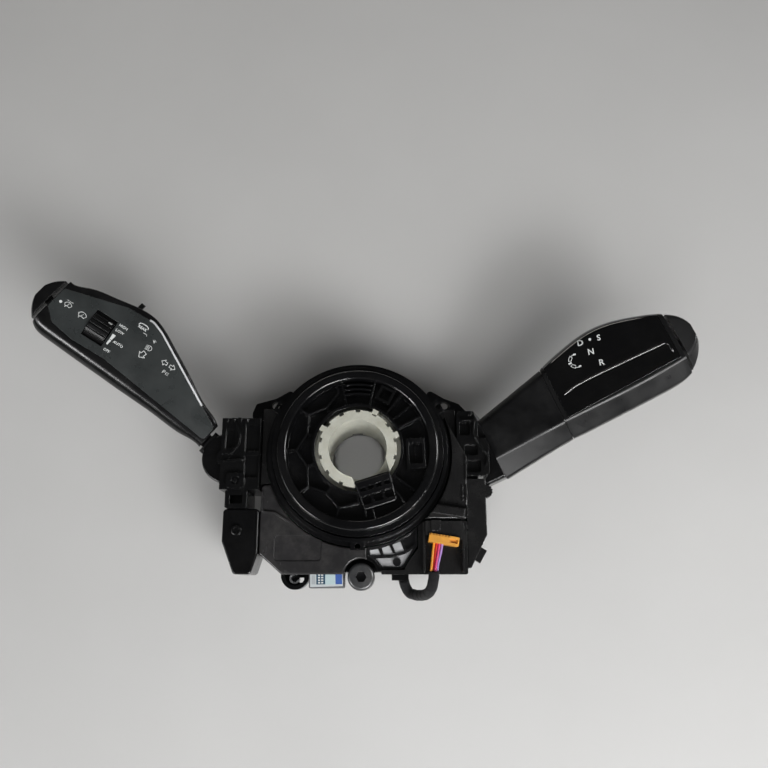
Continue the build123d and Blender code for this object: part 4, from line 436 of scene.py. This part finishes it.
# the trim's plain pale colour is its silver tone with a painted reflection: it shows bright as chrome would, with
# no lamp mirrored in it
bright_trim = moulded(
    "bright_trim",
    (0.70, 0.71, 0.72),
    roughness=0.22,
    grain=1200.0,
    grain_depth=0.01 * MM,
    edge=0.2 * MM,
    edge_wear_and_highlight=0.2,
    dust=0.02,
    coat=0.4,
)
hub_white = acetal("hub_white", (0.56, 0.56, 0.49), stained=(0.34, 0.33, 0.25))
gear_white = acetal("gear_white", (0.82, 0.82, 0.78), stained=(0.6, 0.6, 0.5))
steel = metal("steel", (0.50, 0.50, 0.51), roughness=0.32)
dark_steel = moulded(
    "dark_steel",
    (0.030, 0.031, 0.033),
    roughness=0.34,
    grain=900.0,
    grain_depth=0.08 * MM,
    edge_wear_and_highlight=1.0,
    dust=0.7,
    specular=0.9,
)
pin_brass = metal("pin_brass", (0.72, 0.58, 0.30), roughness=0.28)
socket_grey = moulded("socket_grey", (0.11, 0.11, 0.115), roughness=0.5, dust=0.2)
plug_orange = moulded("plug_orange", (0.80, 0.36, 0.045), roughness=0.40, edge_wear_and_highlight=0.3, dust=0.1)
print_white = white_print("print_white", (0.74, 0.76, 0.75))
print_blue = white_print("print_blue", (0.045, 0.12, 0.42))
print_grey = white_print("print_grey", (0.30, 0.33, 0.35))
print_slate = white_print("print_slate", (0.02, 0.07, 0.12))
print_pale = white_print("print_pale", (0.60, 0.64, 0.65))
print_mint = white_print("print_mint", (0.52, 0.66, 0.68))
board = board_green("board_green")
tape_black = fleece("loom_tape")
cable_film = moulded("film_cable", (0.10, 0.10, 0.105), roughness=0.3, grain=900.0, dust=0.2)

FINISHES = {
    housing_black: (
        "rear_housing",
        "left_switch_housing",
        "right_switch_housing",
        "slot_frame",
        "left_bracket",
        "lower_hook",
        "main_socket",
        "loom_socket",
        "turn_barrel",
        "upper_socket",
        "bracket_screw",
    ),
    cover_black: (
        "tower_cover",
        "bay_cover",
        "side_plate",
        "cable_guide",
        "jumper_socket",
        "left_corner_cover",
        "right_corner_cover",
        "left_ear_bush",
        "right_ear_bush",
    ),
    sheet_black: ("lower_cover",),
    gloss_black: ("rotor_disc", "stator", "horn_socket", "wheel_socket"),
    clear_black: ("window_panel",),
    stalk_black: ("selector_sleeve", "wiper_roller", "rear_toggle", "lever_core"),
    shell_black: ("left_stalk_shell", "wash_button"),
    facet_grey: ("selector_grip", "selector_tube"),
    cap_grey: ("park_button",),
    piano_black: ("gloss_panel",),
    plate_grey: ("left_face_plate",),
    bright_trim: ("left_trim",),
    hub_white: ("hub_ring",),
    gear_white: ("sensor_drive_gear", "sensor_gear_a", "sensor_gear_b"),
    board: ("circuit_board",),
    steel: ("flash_pin", "hook_clip"),
    dark_steel: ("clamp_bolt",),
    pin_brass: ("main_pins",),
    socket_grey: ("side_socket",),
    plug_orange: ("jumper_plug",),
    cable_film: ("flat_cable",),
    insulation("wire_orange", (0.85, 0.33, 0.03)): ("wire_orange",),
    insulation("wire_red", (0.62, 0.03, 0.02)): ("wire_red",),
    insulation("wire_magenta", (0.70, 0.06, 0.22)): ("wire_magenta",),
    insulation("wire_violet", (0.42, 0.26, 0.62)): ("wire_violet",),
    tape_black: ("lead_loom",),
}
for material, names in FINISHES.items():
    for name in names:
        for slot in nodes[name].material_slots:
            slot.link = "OBJECT"
            slot.material = material


# ------------------------------------------------------------------ building blocks
def add_piece(name, mesh, body):
    """Puts a mesh into the scene as a visible piece that rides on a body."""
    piece = bpy.data.objects.new(name, mesh)
    scene.collection.objects.link(piece)
    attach(piece, body)
    return piece


def new_piece(name, points, faces, material, body, smooth=False):
    mesh = bpy.data.meshes.new(name)
    mesh.from_pydata([tuple(p) for p in points], [], faces)
    mesh.validate()
    mesh.materials.append(material)
    if smooth:
        mesh.shade_smooth()
    return add_piece(name, mesh, body)


def mesh_of(curve):
    """The mesh that Blender makes of a curve or a text."""
    holder = bpy.data.objects.new(curve.name, curve)
    scene.collection.objects.link(holder)
    mesh = bpy.data.meshes.new_from_object(holder)
    bpy.data.objects.remove(holder)
    return mesh


def tube_faces(rings, size):
    """Faces of a closed tube through rings of that many points, with its two ends."""
    faces = []
    for i in range(rings - 1):
        for k in range(size):
            a, b = i * size + k, i * size + (k + 1) % size
            faces.append((a, b, b + size, a + size))
    last = (rings - 1) * size
    return faces + [tuple(reversed(range(size))), tuple(range(last, last + size))]


def tree_of(name):
    """The faces of a CAD node, for ray casts."""
    mesh = nodes[name].data
    return BVHTree.FromPolygons([v.co for v in mesh.vertices], [p.vertices for p in mesh.polygons])


# ------------------------------------------------------------------ taped lead
LOOM_RADIUS = 3.5 * MM
LOOM_ROUTE = (  # control points, from the wires' entry to the loom socket
    (0.0474, -0.0744, 0.0440),
    (0.0470, -0.0815, 0.0425),
    (0.0446, -0.0880, 0.0330),
    (0.0385, -0.0893, 0.0140),
    (0.0310, -0.0868, 0.0080),
    (0.0293, -0.0790, 0.0130),
)
LOOM_STEPS = 24  # points for each of the route's spans
ROUND_STEPS = 40
TAPE_PITCH = 6.5 * MM
TAPE_STEP = 0.22 * MM  # from one turn of tape down to the next
TAPE_NAP = 0.05 * MM
TAPE_SEED = 7


def nurbs_points(route, resolution):
    """The points of the NURBS line that has the route as its control points."""
    curve = bpy.data.curves.new("route", "CURVE")
    curve.dimensions = "3D"
    spline = curve.splines.new("NURBS")
    spline.points.add(len(route) - 1)
    for point, place in zip(spline.points, route):
        point.co = (*place, 1.0)
    spline.order_u = 3
    spline.use_endpoint_u = True
    spline.resolution_u = resolution
    return [v.co.copy() for v in mesh_of(curve).vertices]


def frames_along(points):
    """A point, side and up direction for each point of a line, with no sudden twist."""
    side = None
    for i, point in enumerate(points):
        ahead = (points[min(i + 1, len(points) - 1)] - points[max(i - 1, 0)]).normalized()
        if side is None:
            side = ahead.orthogonal()
        side = (side - ahead * side.dot(ahead)).normalized()
        yield point, side, ahead.cross(side)


def tape_tube(name, points, radius, material, body):
    """A tube wound with overlapping tape: each turn lies on the one before it."""
    rng = np.random.default_rng(TAPE_SEED)
    verts, travelled = [], 0.0
    for i, (point, side, up) in enumerate(frames_along(points)):
        travelled += (point - points[i - 1]).length if i else 0.0
        for k in range(ROUND_STEPS):
            turn = k / ROUND_STEPS
            lap = (travelled / TAPE_PITCH - turn) % 1.0
            size = radius - TAPE_STEP * lap - TAPE_NAP * rng.random()
            angle = 2 * math.pi * turn
            verts.append(point + (side * math.cos(angle) + up * math.sin(angle)) * size)
    return new_piece(name, verts, tube_faces(len(points), ROUND_STEPS), material, body, smooth=True)


loom_line = nurbs_points(LOOM_ROUTE, LOOM_STEPS)
loom = tape_tube("taped_lead", loom_line, LOOM_RADIUS, tape_black, "module")
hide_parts("lead_loom")
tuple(LOOM_ROUTE[0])

# ------------------------------------------------------------------ printed symbols and lettering
PRINT_ABOVE = 0.05 * MM  # a print's top over its carrier
PRINT_BELOW = 0.10 * MM  # its underside, sunk into the carrier
STROKE = 0.36 * MM
PROBE_REACH = 40 * MM  # the ray casts start this far out
MITRE_LIMIT = 0.45
LEAST_STEP = 1e-9
LEAST_LENGTH = 1e-6
CAP_SHARE = 0.70  # cap height of the built-in font, over its size
MERGE = 0.001 * MM


class Print:
    """A place for printing: the frame of a stalk and the nodes that carry the print."""

    def __init__(self, frame_matrix, carriers, body):
        self.frame = frame_matrix
        self.normal = (frame_matrix.to_3x3() @ Vector((0, 0, 1))).normalized()
        self.trees = [tree_of(name) for name in carriers]
        self.body = body

    def on_surface(self, x, y, above):
        """The point over (x, y) of the frame, above the highest carrier there."""
        start = self.frame @ Vector((x, y, 0)) + self.normal * PROBE_REACH
        hits = [tree.ray_cast(start, -self.normal)[0] for tree in self.trees]
        hits = [hit for hit in hits if hit is not None]
        if not hits:
            return self.frame @ Vector((x, y, above))
        return max(hits, key=lambda hit: hit.dot(self.normal)) + self.normal * above

    def prism(self, rings, caps):
        """Points and faces of a closed film that lies on the surface: rings bound it and caps cover its top."""
        points, faces = [], []
        flat = [xy for ring in rings for xy in ring]
        for above in (PRINT_ABOVE, -PRINT_BELOW):
            points += [self.on_surface(x, y, above) for x, y in flat]
        count, start = len(flat), 0
        for ring in rings:
            size = len(ring)
            for i in range(size):
                a, b = start + i, start + (i + 1) % size
                faces.append((a, a + count, b + count, b))
            start += size
        faces += [tuple(cap) for cap in caps]
        faces += [tuple(count + i for i in reversed(cap)) for cap in caps]
        return points, faces


def placed(shape, place, turn=0.0, size=1.0):
    """Flat points turned by degrees, scaled and moved."""
    cos, sin = math.cos(math.radians(turn)), math.sin(math.radians(turn))
    return [(place[0] + size * (x * cos - y * sin), place[1] + size * (x * sin + y * cos)) for x, y in shape]


def arc(centre, radius, first, last, steps=10, flatten=1.0):
    """Points of an arc in degrees, counted anticlockwise from +x."""
    angles = [math.radians(first + (last - first) * i / steps) for i in range(steps + 1)]
    return [(centre[0] + radius * math.cos(a), centre[1] + radius * flatten * math.sin(a)) for a in angles]


def finer(points, closed, step=0.8 * MM):
    """The same line with points close enough together to follow a curved surface."""
    ends = list(zip(points, points[1:] + points[:1])) if closed else list(zip(points, points[1:]))
    out = []
    for (x0, y0), (x1, y1) in ends:
        parts = max(1, int(math.hypot(x1 - x0, y1 - y0) / step))
        out += [(x0 + (x1 - x0) * k / parts, y0 + (y1 - y0) * k / parts) for k in range(parts)]
    return out if closed else out + [points[-1]]


def sides(points, width, closed):
    """The two edges of a stroke of that width, mitred at its corners."""
    left, right, count = [], [], len(points)
    for i, (x, y) in enumerate(points):
        before = points[i - 1] if i or closed else points[i]
        after = points[(i + 1) % count] if closed or i < count - 1 else points[i]
        steps = [(x - before[0], y - before[1]), (after[0] - x, after[1] - y)]
        units = [(a / math.hypot(a, b), b / math.hypot(a, b)) for a, b in steps if math.hypot(a, b) > LEAST_STEP]
        tangent = (sum(u[0] for u in units), sum(u[1] for u in units))
        long = max(math.hypot(*tangent), LEAST_LENGTH)
        normal = (-tangent[1] / long, tangent[0] / long)
        spread = max(MITRE_LIMIT, abs(normal[0] * -units[0][1] + normal[1] * units[0][0]))
        half = width / 2 / spread
        left.append((x + normal[0] * half, y + normal[1] * half))
        right.append((x - normal[0] * half, y - normal[1] * half))
    return left, right


def stroke(points, width=STROKE, closed=False):
    """(rings, caps, closed) of a line drawn with that width."""
    points = finer(points, closed)
    left, right = sides(points, width, closed)
    count = len(points)
    if closed:
        caps = [(i, (i + 1) % count, count + (i + 1) % count, count + i) for i in range(count)]
        return [left, right], caps, True
    caps = [(i, i + 1, 2 * count - 2 - i, 2 * count - 1 - i) for i in range(count - 1)]
    return [left + right[::-1]], caps, False


def filled(points):
    """(rings, caps, closed) of a filled convex shape."""
    return [points], [tuple(range(len(points)))], False


def draw(name, spot, shapes, place, turn, material, size=1.0):
    """One printed piece out of several shapes; each is (rings, caps, closed) in its own coordinates."""
    points, faces = [], []
    for rings, caps, closed in shapes:
        rings = [placed(ring, place, turn, size) for ring in rings]
        got, made = spot.prism(rings, caps)
        if closed:  # the inner ring's wall faces the other way
            half = len(rings[0])
            made[half : 2 * half] = [tuple(reversed(f)) for f in made[half : 2 * half]]
        base = len(points)
        points += got
        faces += [tuple(base + i for i in f) for f in made]
    new_piece(name, points, faces, material, spot.body)


def refine(mesh, longest=0.5 * MM, rounds=3):
    """Splits the long edges, so that a flat film can follow a curved carrier."""
    work = bmesh.new()
    work.from_mesh(mesh)
    bmesh.ops.remove_doubles(work, verts=work.verts, dist=MERGE)
    for _ in range(rounds):
        edges = [edge for edge in work.edges if edge.calc_length() > longest]
        if edges:
            bmesh.ops.subdivide_edges(work, edges=edges, cuts=1)
            bmesh.ops.triangulate(work, faces=work.faces)
    work.to_mesh(mesh)
    work.free()


def letters(name, spot, text, height, place, turn, fatten, spacing=1.0):
    """Generic white lettering, cap height given, centred on its place."""
    curve = bpy.data.curves.new(name, "FONT")
    curve.body = text
    curve.size = height / CAP_SHARE
    curve.align_x = "CENTER"
    curve.align_y = "CENTER"
    curve.offset = fatten
    curve.space_character = spacing
    curve.resolution_u = 4
    curve.extrude = PRINT_ABOVE
    mesh = mesh_of(curve)
    refine(mesh)
    for vertex in mesh.vertices:
        (x, y), z = placed([(vertex.co.x, vertex.co.y)], place, turn)[0], vertex.co.z
        vertex.co = spot.on_surface(x, y, PRINT_ABOVE if z > 0 else -PRINT_BELOW)
    mesh.materials.clear()
    mesh.materials.append(print_white)
    add_piece(name, mesh, spot.body)


def mm(points):
    """Points given in millimetres, in metres."""
    return [(x * MM, y * MM) for x, y in points]


def screen_with_arm():
    """Windscreen outline with a wiper arm."""
    outline = mm(arc((0, -1.2), 3.2, 150, 30, 8) + arc((0, -4.6), 3.6, 62, 118, 6))
    return [
        stroke(outline, STROKE, True),
        stroke(mm([(-1.5, -2.5), (-0.9, -1.2), (0.5, 0.9)]), STROKE * 0.9),
    ]


def block_arrow(length=5.2, half_head=2.3, half_shaft=1.0, head=2.5):
    """Outlined arrow that points along +x, with its tip at half its length."""
    tip = length / 2
    neck = tip - head
    return mm(
        [(tip, 0), (neck, half_head), (neck, half_shaft), (-tip, half_shaft)]
        + [(-tip, -half_shaft), (neck, -half_shaft), (neck, -half_head)]
    )


def lamp():
    """Headlamp: a D with five beams on its left."""
    body = mm([(0, 1.9), (0, -1.9)] + arc((0.2, 0), 1.9, -80, 80, 8))
    beams = [stroke(mm([(-0.6, y), (-2.7, y - 0.45)]), STROKE * 0.85) for y in (-1.7, -0.85, 0.0, 0.85, 1.7)]
    return [stroke(body, STROKE, True)] + beams


def box_outline(left, bottom, right, top):
    """The corners of a rectangle, anticlockwise."""
    return [(left, bottom), (right, bottom), (right, top), (left, top)]


def disc(radius):
    """A filled round dot, with the radius in mm."""
    return filled(mm(arc((0, 0), radius, 0, 330, 11)))


def wedge(low_half, high_half, low_y, high_y):
    """A filled bar that widens from one half width to the other."""
    return filled(mm([(-low_half, low_y), (low_half, low_y), (high_half, high_y), (-high_half, high_y)]))


LEFT_PLATE = Print(LEFT_FRAME, ("left_face_plate", "left_stalk_shell"), "left_lever")
LEFT_TURN = 9.0  # the print runs at this angle to the stalk, as the roller does
LEFT_SIGNS = {  # shapes, place in mm along and across the stalk, turn in degrees, scale
    "sign_washer": (
        screen_with_arm()
        + [stroke(mm([(side * 0.7, 2.6), (side * 1.5, 3.2), (side * 2.6, 2.9)]), STROKE * 0.8) for side in (-1, 1)]
        + [stroke(mm([(0, -0.6), (0, 1.2)]), STROKE * 0.8), stroke(mm([(0, 2.5), (0, 3.4)]), STROKE * 0.8)],
        (-142.9, 7.3),
        0.0,
        0.86,
    ),
    "sign_press_dot": ([disc(0.95)], (-147.6, 6.0), 0.0, 1.0),
    "sign_wiper": (screen_with_arm(), (-132.3, 8.3), 0.0, 0.98),
    "sign_rear_arc": (
        [stroke(mm([(-3.3, -0.6), (-3.0, 0.5), (-1.6, 1.1), (1.6, 1.1), (3.0, 0.5), (3.3, -0.6)]), STROKE * 1.5)],
        (-100.1, 28.7),
        0.0,
        1.0,
    ),
    "sign_rear_mark": (
        [stroke(mm([(-1.5, 0.4), (1.0, 0.4), (1.5, -0.5)]), STROKE * 0.9)],
        (-96.0, 25.2),
        0.0,
        1.0,
    ),
    "sign_lamp": (lamp(), (-88.2, 20.4), 0.0, 0.85),
    "sign_push_dot": (
        [disc(0.8)] + [stroke(mm([(0, 0), p]), STROKE) for p in ((1.6, 0.6), (-1.6, 0.6), (0.6, -1.4), (0, 1.6))],
        (-88.6, 25.7),
        0.0,
        0.8,
    ),
    "sign_pull_arrow": ([stroke(block_arrow(4.4, 2.4, 1.2, 2.3), STROKE, True)], (-88.6, 14.3), -112.0, 1.1),
    "sign_turn_left": ([stroke(block_arrow(3.9, 1.9, 0.9, 2.1), STROKE, True)], (-74.9, 20.0), 180.0, 1.0),
    "sign_turn_right": ([stroke(block_arrow(3.9, 1.9, 0.9, 2.1), STROKE, True)], (-69.0, 20.8), 0.0, 1.0),
    "sign_parking": (
        [
            stroke(
                mm([(-2.0, -1.1), (-2.0, 1.1), (-1.0, 1.1), (-0.7, 0.55), (-1.0, 0.0), (-2.0, 0.0)]),
                STROKE * 0.9,
            ),
            stroke(mm(arc((1.0, 0), 0.9, 250, 110, 6)), STROKE * 0.8),
        ]
        + [stroke(mm([(0.9, y), (2.0, y)]), STROKE * 0.7) for y in (-0.8, 0.0, 0.8)],
        (-69.8, 15.4),
        0.0,
        1.0,
    ),
    "sign_wedge_low": ([wedge(0.5, 0.78, 0.0, 3.6)], (-109.0, 4.7), -4.0, 1.0),
    "sign_wedge_high": ([wedge(0.84, 1.15, 3.9, 7.7)], (-109.0, 4.7), -4.0, 1.0),
}
for name, (shapes, (x, y), turn, size) in LEFT_SIGNS.items():
    draw(name, LEFT_PLATE, shapes, (x * MM, y * MM), LEFT_TURN + turn, print_white, size)
LEFT_WORDS = {  # text, cap height in mm, place in mm
    "word_high": ("HIGH", 1.65, (-108.9, 19.6)),
    "word_low": ("LOW", 1.65, (-108.5, 15.9)),
    "word_auto": ("AUTO", 1.65, (-103.9, 9.3)),
    "word_off": ("OFF", 1.65, (-106.4, 1.7)),
    "word_rear": ("REAR", 1.7, (-99.9, 27.1)),
}
WORD_FATTEN = 0.05 * MM
WORD_SPACING = 1.05
for name, (text, height, (x, y)) in LEFT_WORDS.items():
    place = (x * MM, y * MM)
    letters(name, LEFT_PLATE, text, height * MM, place, LEFT_TURN, WORD_FATTEN, WORD_SPACING)

ROLLER = Print(LEFT_FRAME, ("wiper_roller",), "roller")
ROLLER_INDEX = (-116.2 * MM, 16.0 * MM)
index_bar = filled(mm(box_outline(-1.3, -0.45, 1.3, 0.45)))
draw("sign_roller_index", ROLLER, [index_bar], ROLLER_INDEX, LEFT_TURN, print_white)

GRIP_PANEL = Print(RIGHT_FRAME, ("gloss_panel", "selector_grip"), "grip")
GRIP_TURN = -16.0  # the letters stand at this angle to the stalk
LETTER_HEIGHT = 3.7 * MM
LETTER_FATTEN = 0.09 * MM
for text, (x, y) in {"D": (83.6, 36.2), "S": (95.3, 34.0), "N": (87.0, 28.0), "R": (89.7, 18.9)}.items():
    name, place = f"letter_{text.lower()}", (x * MM, y * MM)
    letters(name, GRIP_PANEL, text, LETTER_HEIGHT, place, GRIP_TURN, LETTER_FATTEN)
GATE_DOT = (90.0 * MM, 35.6 * MM)
draw("sign_gate_dot", GRIP_PANEL, [disc(0.85)], GATE_DOT, 0.0, print_white)


def curved_arrow(side):
    """Half of the twist symbol: a hollow arrow head that runs into a curved bar with a thick end."""
    tip, neck, tail = side * 22, side * 62, side * 112  # degrees
    head = arc((0, 0), 4.8, tip, neck, 5) + arc((0, 0), 3.1, neck, tip, 4)
    head = head[:1] + head[3:7] + head[-1:]
    bar = arc((0, 0), 4.3, neck, tail, 7)
    return [
        stroke(mm(head), STROKE * 0.9, True),
        stroke(mm(bar[:5]), STROKE * 1.2),
        stroke(mm(bar[4:]), STROKE * 2.9),
    ]


twist = curved_arrow(1) + curved_arrow(-1) + [stroke(mm([(3.0, 0), (5.2, 0)]), STROKE * 3.2)]
TWIST_PLACE, TWIST_TURN = (76.2 * MM, 27.0 * MM), 178.0
draw("sign_twist", GRIP_PANEL, twist, TWIST_PLACE, TWIST_TURN, print_white)

# ------------------------------------------------------------------ bright bead along the panel's crease
BEAD_WIDTH, BEAD_HEIGHT = 1.3 * MM, 0.42 * MM
BEAD_STEP = 0.6 * MM
BEAD_SINK = 0.03 * MM
BEAD_SIDES = 8
TAPER_STEPS = 4
TAPER_START = 0.6  # in steps: the ends aren't drawn out to a point


def bead(name, spot, points, width, height, material):
    """A low rounded ridge along a line on the carrier; its ends taper out."""
    points = finer(points, False, BEAD_STEP)
    profile = [(math.cos(a), math.sin(a)) for a in (math.pi * k / BEAD_SIDES for k in range(BEAD_SIDES + 1))]
    verts, count = [], len(points)
    for i, (x, y) in enumerate(points):
        x0, y0 = points[max(i - 1, 0)]
        x1, y1 = points[min(i + 1, count - 1)]
        long = math.hypot(x1 - x0, y1 - y0)
        nx, ny = (y0 - y1) / long, (x1 - x0) / long
        share = min(1.0, (min(i, count - 1 - i) + TAPER_START) / TAPER_STEPS)
        for across_share, up in profile:
            side = across_share * width / 2 * share
            verts.append(spot.on_surface(x + nx * side, y + ny * side, up * height * share - BEAD_SINK))
        verts.append(spot.on_surface(x, y, -PRINT_BELOW))
    faces = tube_faces(count, len(profile) + 1)
    new_piece(name, verts, faces, material, spot.body, smooth=True)


CREASE = [(58.5, 10.4), (61.6, 11.2), (69.2, 12.8), (80.7, 13.3), (92.6, 13.2), (109.4, 13.1), (122.6, 12.9)]
CREASE += arc((128.2, 10.2), 2.8, 80, 5, 4) + [(131.1, 7.7), (130.9, 4.7)]
bead("panel_crease", GRIP_PANEL, mm(CREASE), BEAD_WIDTH, BEAD_HEIGHT, piano_black)

# ------------------------------------------------------------------ collar in the seam of the grip
COLLAR_SHARE = 0.955  # the collar's outline over the grip's
COLLAR_REACH = 0.55 * MM  # out of the grip, over the seam that it closes
COLLAR_DEPTH = 0.1 * MM  # into the grip
END_DEPTH = 0.02 * MM  # points this near the grip's end are taken as its end face
RIM_STEP = 6  # degrees
RIM_LEAST = 0.55  # of the farthest rim point; nearer ones lie on a bore


def mouth_outline(points):
    """The end face's outermost point in each direction, drawn in a little towards its middle."""
    middle = (sum(y for y, z in points) / len(points), sum(z for y, z in points) / len(points))
    rim = {}
    for y, z in points:
        turn = round(math.degrees(math.atan2(z - middle[1], y - middle[0])) / RIM_STEP)
        reach = math.hypot(y - middle[0], z - middle[1])
        rim[turn] = max(rim.get(turn, (0.0, 0.0, 0.0)), (reach, y, z))
    far = max(reach for reach, y, z in rim.values())
    ring = [(y, z) for turn, (reach, y, z) in sorted(rim.items()) if reach > RIM_LEAST * far]
    return [tuple(m + (v - m) * COLLAR_SHARE for m, v in zip(middle, point)) for point in ring]


to_stalk = RIGHT_FRAME.inverted() @ nodes["selector_grip"].matrix_world
grip_points = [to_stalk @ vertex.co for vertex in nodes["selector_grip"].data.vertices]
grip_start = min(point.x for point in grip_points)
outline = mouth_outline([(point.y, point.z) for point in grip_points if point.x < grip_start + END_DEPTH])
count = len(outline)
collar_ends = (grip_start - COLLAR_REACH, grip_start + COLLAR_DEPTH)
collar_points = [RIGHT_FRAME @ Vector((x, y, z)) for x in collar_ends for y, z in outline]
collar_faces = [tuple(reversed(range(count))), tuple(range(count, 2 * count))]
collar_faces += [(i, (i + 1) % count, count + (i + 1) % count, count + i) for i in range(count)]
new_piece("grip_collar", collar_points, collar_faces, stalk_black, "grip")

# ------------------------------------------------------------------ label and window panes
def sheet(name, outlines, low, high, material, turn=0.0, centre=(0.0, 0.0)):
    """Closed flat films on the module between two heights; the outlines are in mm and turn about a centre."""
    points, faces = [], []
    for outline in outlines:
        moved = mm([(x - centre[0], y - centre[1]) for x, y in outline])
        ring = placed(moved, mm([centre])[0], turn)
        base, count = len(points), len(ring)
        points += [(x, y, low) for x, y in ring] + [(x, y, high) for x, y in ring]
        faces += [tuple(base + i for i in reversed(range(count))), tuple(base + count + i for i in range(count))]
        for i in range(count):
            j = (i + 1) % count
            faces.append((base + i, base + j, base + count + j, base + count + i))
    new_piece(name, points, faces, material, "module")


LABEL_TURN = 1.6  # degrees
LABEL_CENTRE = (-19.8, -79.4)
LABEL_FILM = 0.03 * MM
LINE_PITCH = 0.62
BAR_PITCH = 1.55
LABEL = {  # one film over another, with outlines in mm
    "label_sheet": (print_pale, (box_outline(-30.2, -83.4, -9.6, -75.0),)),
    "label_grey": (
        print_grey,
        [box_outline(-29.2 + LINE_PITCH * k, -81.8, -28.86 + LINE_PITCH * k, -76.2) for k in range(4)],
    ),
    "label_slate": (print_slate, (box_outline(-26.3, -82.0, -20.7, -75.2),)),
    "label_mint": (print_mint, (box_outline(-20.7, -82.2, -14.4, -75.2),)),
    "label_blue": (
        print_blue,
        ([(-14.2, -82.2), (-10.0, -82.2), (-10.0, -76.4), (-10.4, -75.6), (-11.2, -75.2), (-14.2, -75.2)],),
    ),
    "label_bars": (
        print_white,
        [
            box_outline(x, -81.4 + BAR_PITCH * row, x + 1.3, -80.5 + BAR_PITCH * row)
            for x in (-25.2, -23.2)
            for row in range(4)
        ],
    ),
}
side_socket = nodes["side_socket"]
label_z = max((side_socket.matrix_world @ Vector(corner)).z for corner in side_socket.bound_box)
for layer, (name, (material, outlines)) in enumerate(LABEL.items()):
    top = label_z + (1 + layer) * LABEL_FILM
    sheet(name, outlines, label_z - LABEL_FILM, top, material, LABEL_TURN, LABEL_CENTRE)

PANE_LOW, PANE_HIGH = 33.9 * MM, 34.6 * MM  # the panes lie on the window panel's floor, between its ribs
PANES = {  # outlines in mm
    "window_pane_1": (pane_pale, [(7.6, -61.2), (12.8, -60.4), (14.4, -64.4), (7.6, -64.6)]),
    "window_pane_2": (pane_pale, [(15.0, -59.8), (19.9, -58.3), (22.5, -64.1), (16.4, -64.5)]),
    "window_pane_3": (pane_pale, [(21.7, -57.8), (26.8, -55.7), (29.3, -62.0), (24.1, -63.5)]),
    "window_pane_4": (
        pane_grey,
        [(10.4, -66.3), (21.0, -66.0), (30.4, -63.3), (35.9, -59.6)]
        + [(29.0, -70.4), (27.0, -71.5), (15.4, -71.5), (13.3, -69.0)],
    ),
}
for name, (material, outline) in PANES.items():
    sheet(name, (outline,), PANE_LOW, PANE_HIGH, material)

# ------------------------------------------------------------------ floor, light, view
FLOOR_Z = -12 * MM  # the module's lowest face
HALF_FLOOR = 6.0
floor_mesh = bpy.data.meshes.new("floor")
floor_points = [(x, y, FLOOR_Z) for x, y in box_outline(-HALF_FLOOR, -HALF_FLOOR, HALF_FLOOR, HALF_FLOOR)]
floor_mesh.from_pydata(floor_points, [], [(0, 1, 2, 3)])
floor = bpy.data.objects.new("floor", floor_mesh)
scene.collection.objects.link(floor)
paper, paper_tree, paper_shader = new_tree("paper")
shade = between(paper_tree, noise(paper_tree, scale=3.0, detail=4.0), 0.0, 1.0, start=0.35, end=0.65)
paper_colour = blend_colour(paper_tree, shade, (0.60, 0.595, 0.585), (0.64, 0.635, 0.625))
paper_tree.links.new(paper_colour, paper_shader.inputs["Base Color"])
paper_shader.inputs["Roughness"].default_value = 0.85
floor_mesh.materials.append(paper)


def soft_box(name, place, aim, size, power, tint=(1.0, 1.0, 1.0)):
    """A rectangular lamp: place, aim and size in metres, power in watts."""
    light = bpy.data.lights.new(name, "AREA")
    light.shape = "RECTANGLE"
    light.size, light.size_y = size
    light.energy = power
    light.color = tint
    box = bpy.data.objects.new(name, light)
    box.location = place
    box.rotation_euler = (Vector(aim) - Vector(place)).to_track_quat("-Z", "Y").to_euler()
    scene.collection.objects.link(box)
    return box


AIM = (0, 0, 0.03)
FILL_AIM = (0, 0, 0)
soft_box("key", (0.66, -0.92, 0.80), AIM, (0.6, 0.3), 7.0)
soft_box("side", (-1.15, -0.35, 0.70), AIM, (0.3, 0.3), 1.2, tint=(0.96, 0.98, 1.0))
soft_box("rim", (-0.35, 1.25, 0.45), AIM, (0.9, 0.12), 1.6, tint=(1.0, 0.96, 0.90))
for name, place, size, power in (
    ("fill", (0.10, -0.95, 1.15), (1.2, 0.9), 13.0),
    ("fill_right", (0.90, -0.85, 0.75), (0.8, 0.8), 7.0),
):
    fill = soft_box(name, place, FILL_AIM, size, power)
    fill.visible_glossy = False  # it lights the colours and leaves the black plastics without a haze
GLINT_POWER = 11.0
for name, place, size in (
    ("glint_left", (-0.95, -0.75, 1.05), (0.5, 0.3)),
    ("glint_right", (1.15, 0.25, 0.95), (0.4, 0.4)),
    ("glint_front", (0.35, -0.80, 0.90), (0.5, 0.12)),
):
    glint = soft_box(name, place, AIM, size, GLINT_POWER)
    glint.visible_diffuse = False  # a reflector: it is seen in the gloss only

# a narrow lamp at the camera's place lights the paper that shows through the hub
BORE_RADIUS = 17.0 * MM
BORE_AIM = Vector((0, 0, 0.02))
bore_lamp = bpy.data.lights.new("bore_lamp", "SPOT")
bore_lamp.energy = 2.0
bore_lamp.spot_size = 2 * math.atan(BORE_RADIUS / CAMERA_AT.length)
bore_lamp.spot_blend = 0.15
bore_lamp.shadow_soft_size = 2 * MM
bore_spot = bpy.data.objects.new("bore_lamp", bore_lamp)
bore_spot.location = CAMERA_AT
bore_spot.rotation_euler = (BORE_AIM - CAMERA_AT).to_track_quat("-Z", "Y").to_euler()
bore_spot.visible_glossy = False
scene.collection.objects.link(bore_spot)

world = bpy.data.worlds.new("studio")
scene.world = world
world.use_nodes = True
sky = world.node_tree.nodes["Background"]
sky.inputs["Color"].default_value = (0.80, 0.81, 0.82, 1.0)
sky.inputs["Strength"].default_value = 0.05

scene.view_settings.view_transform = "Standard"
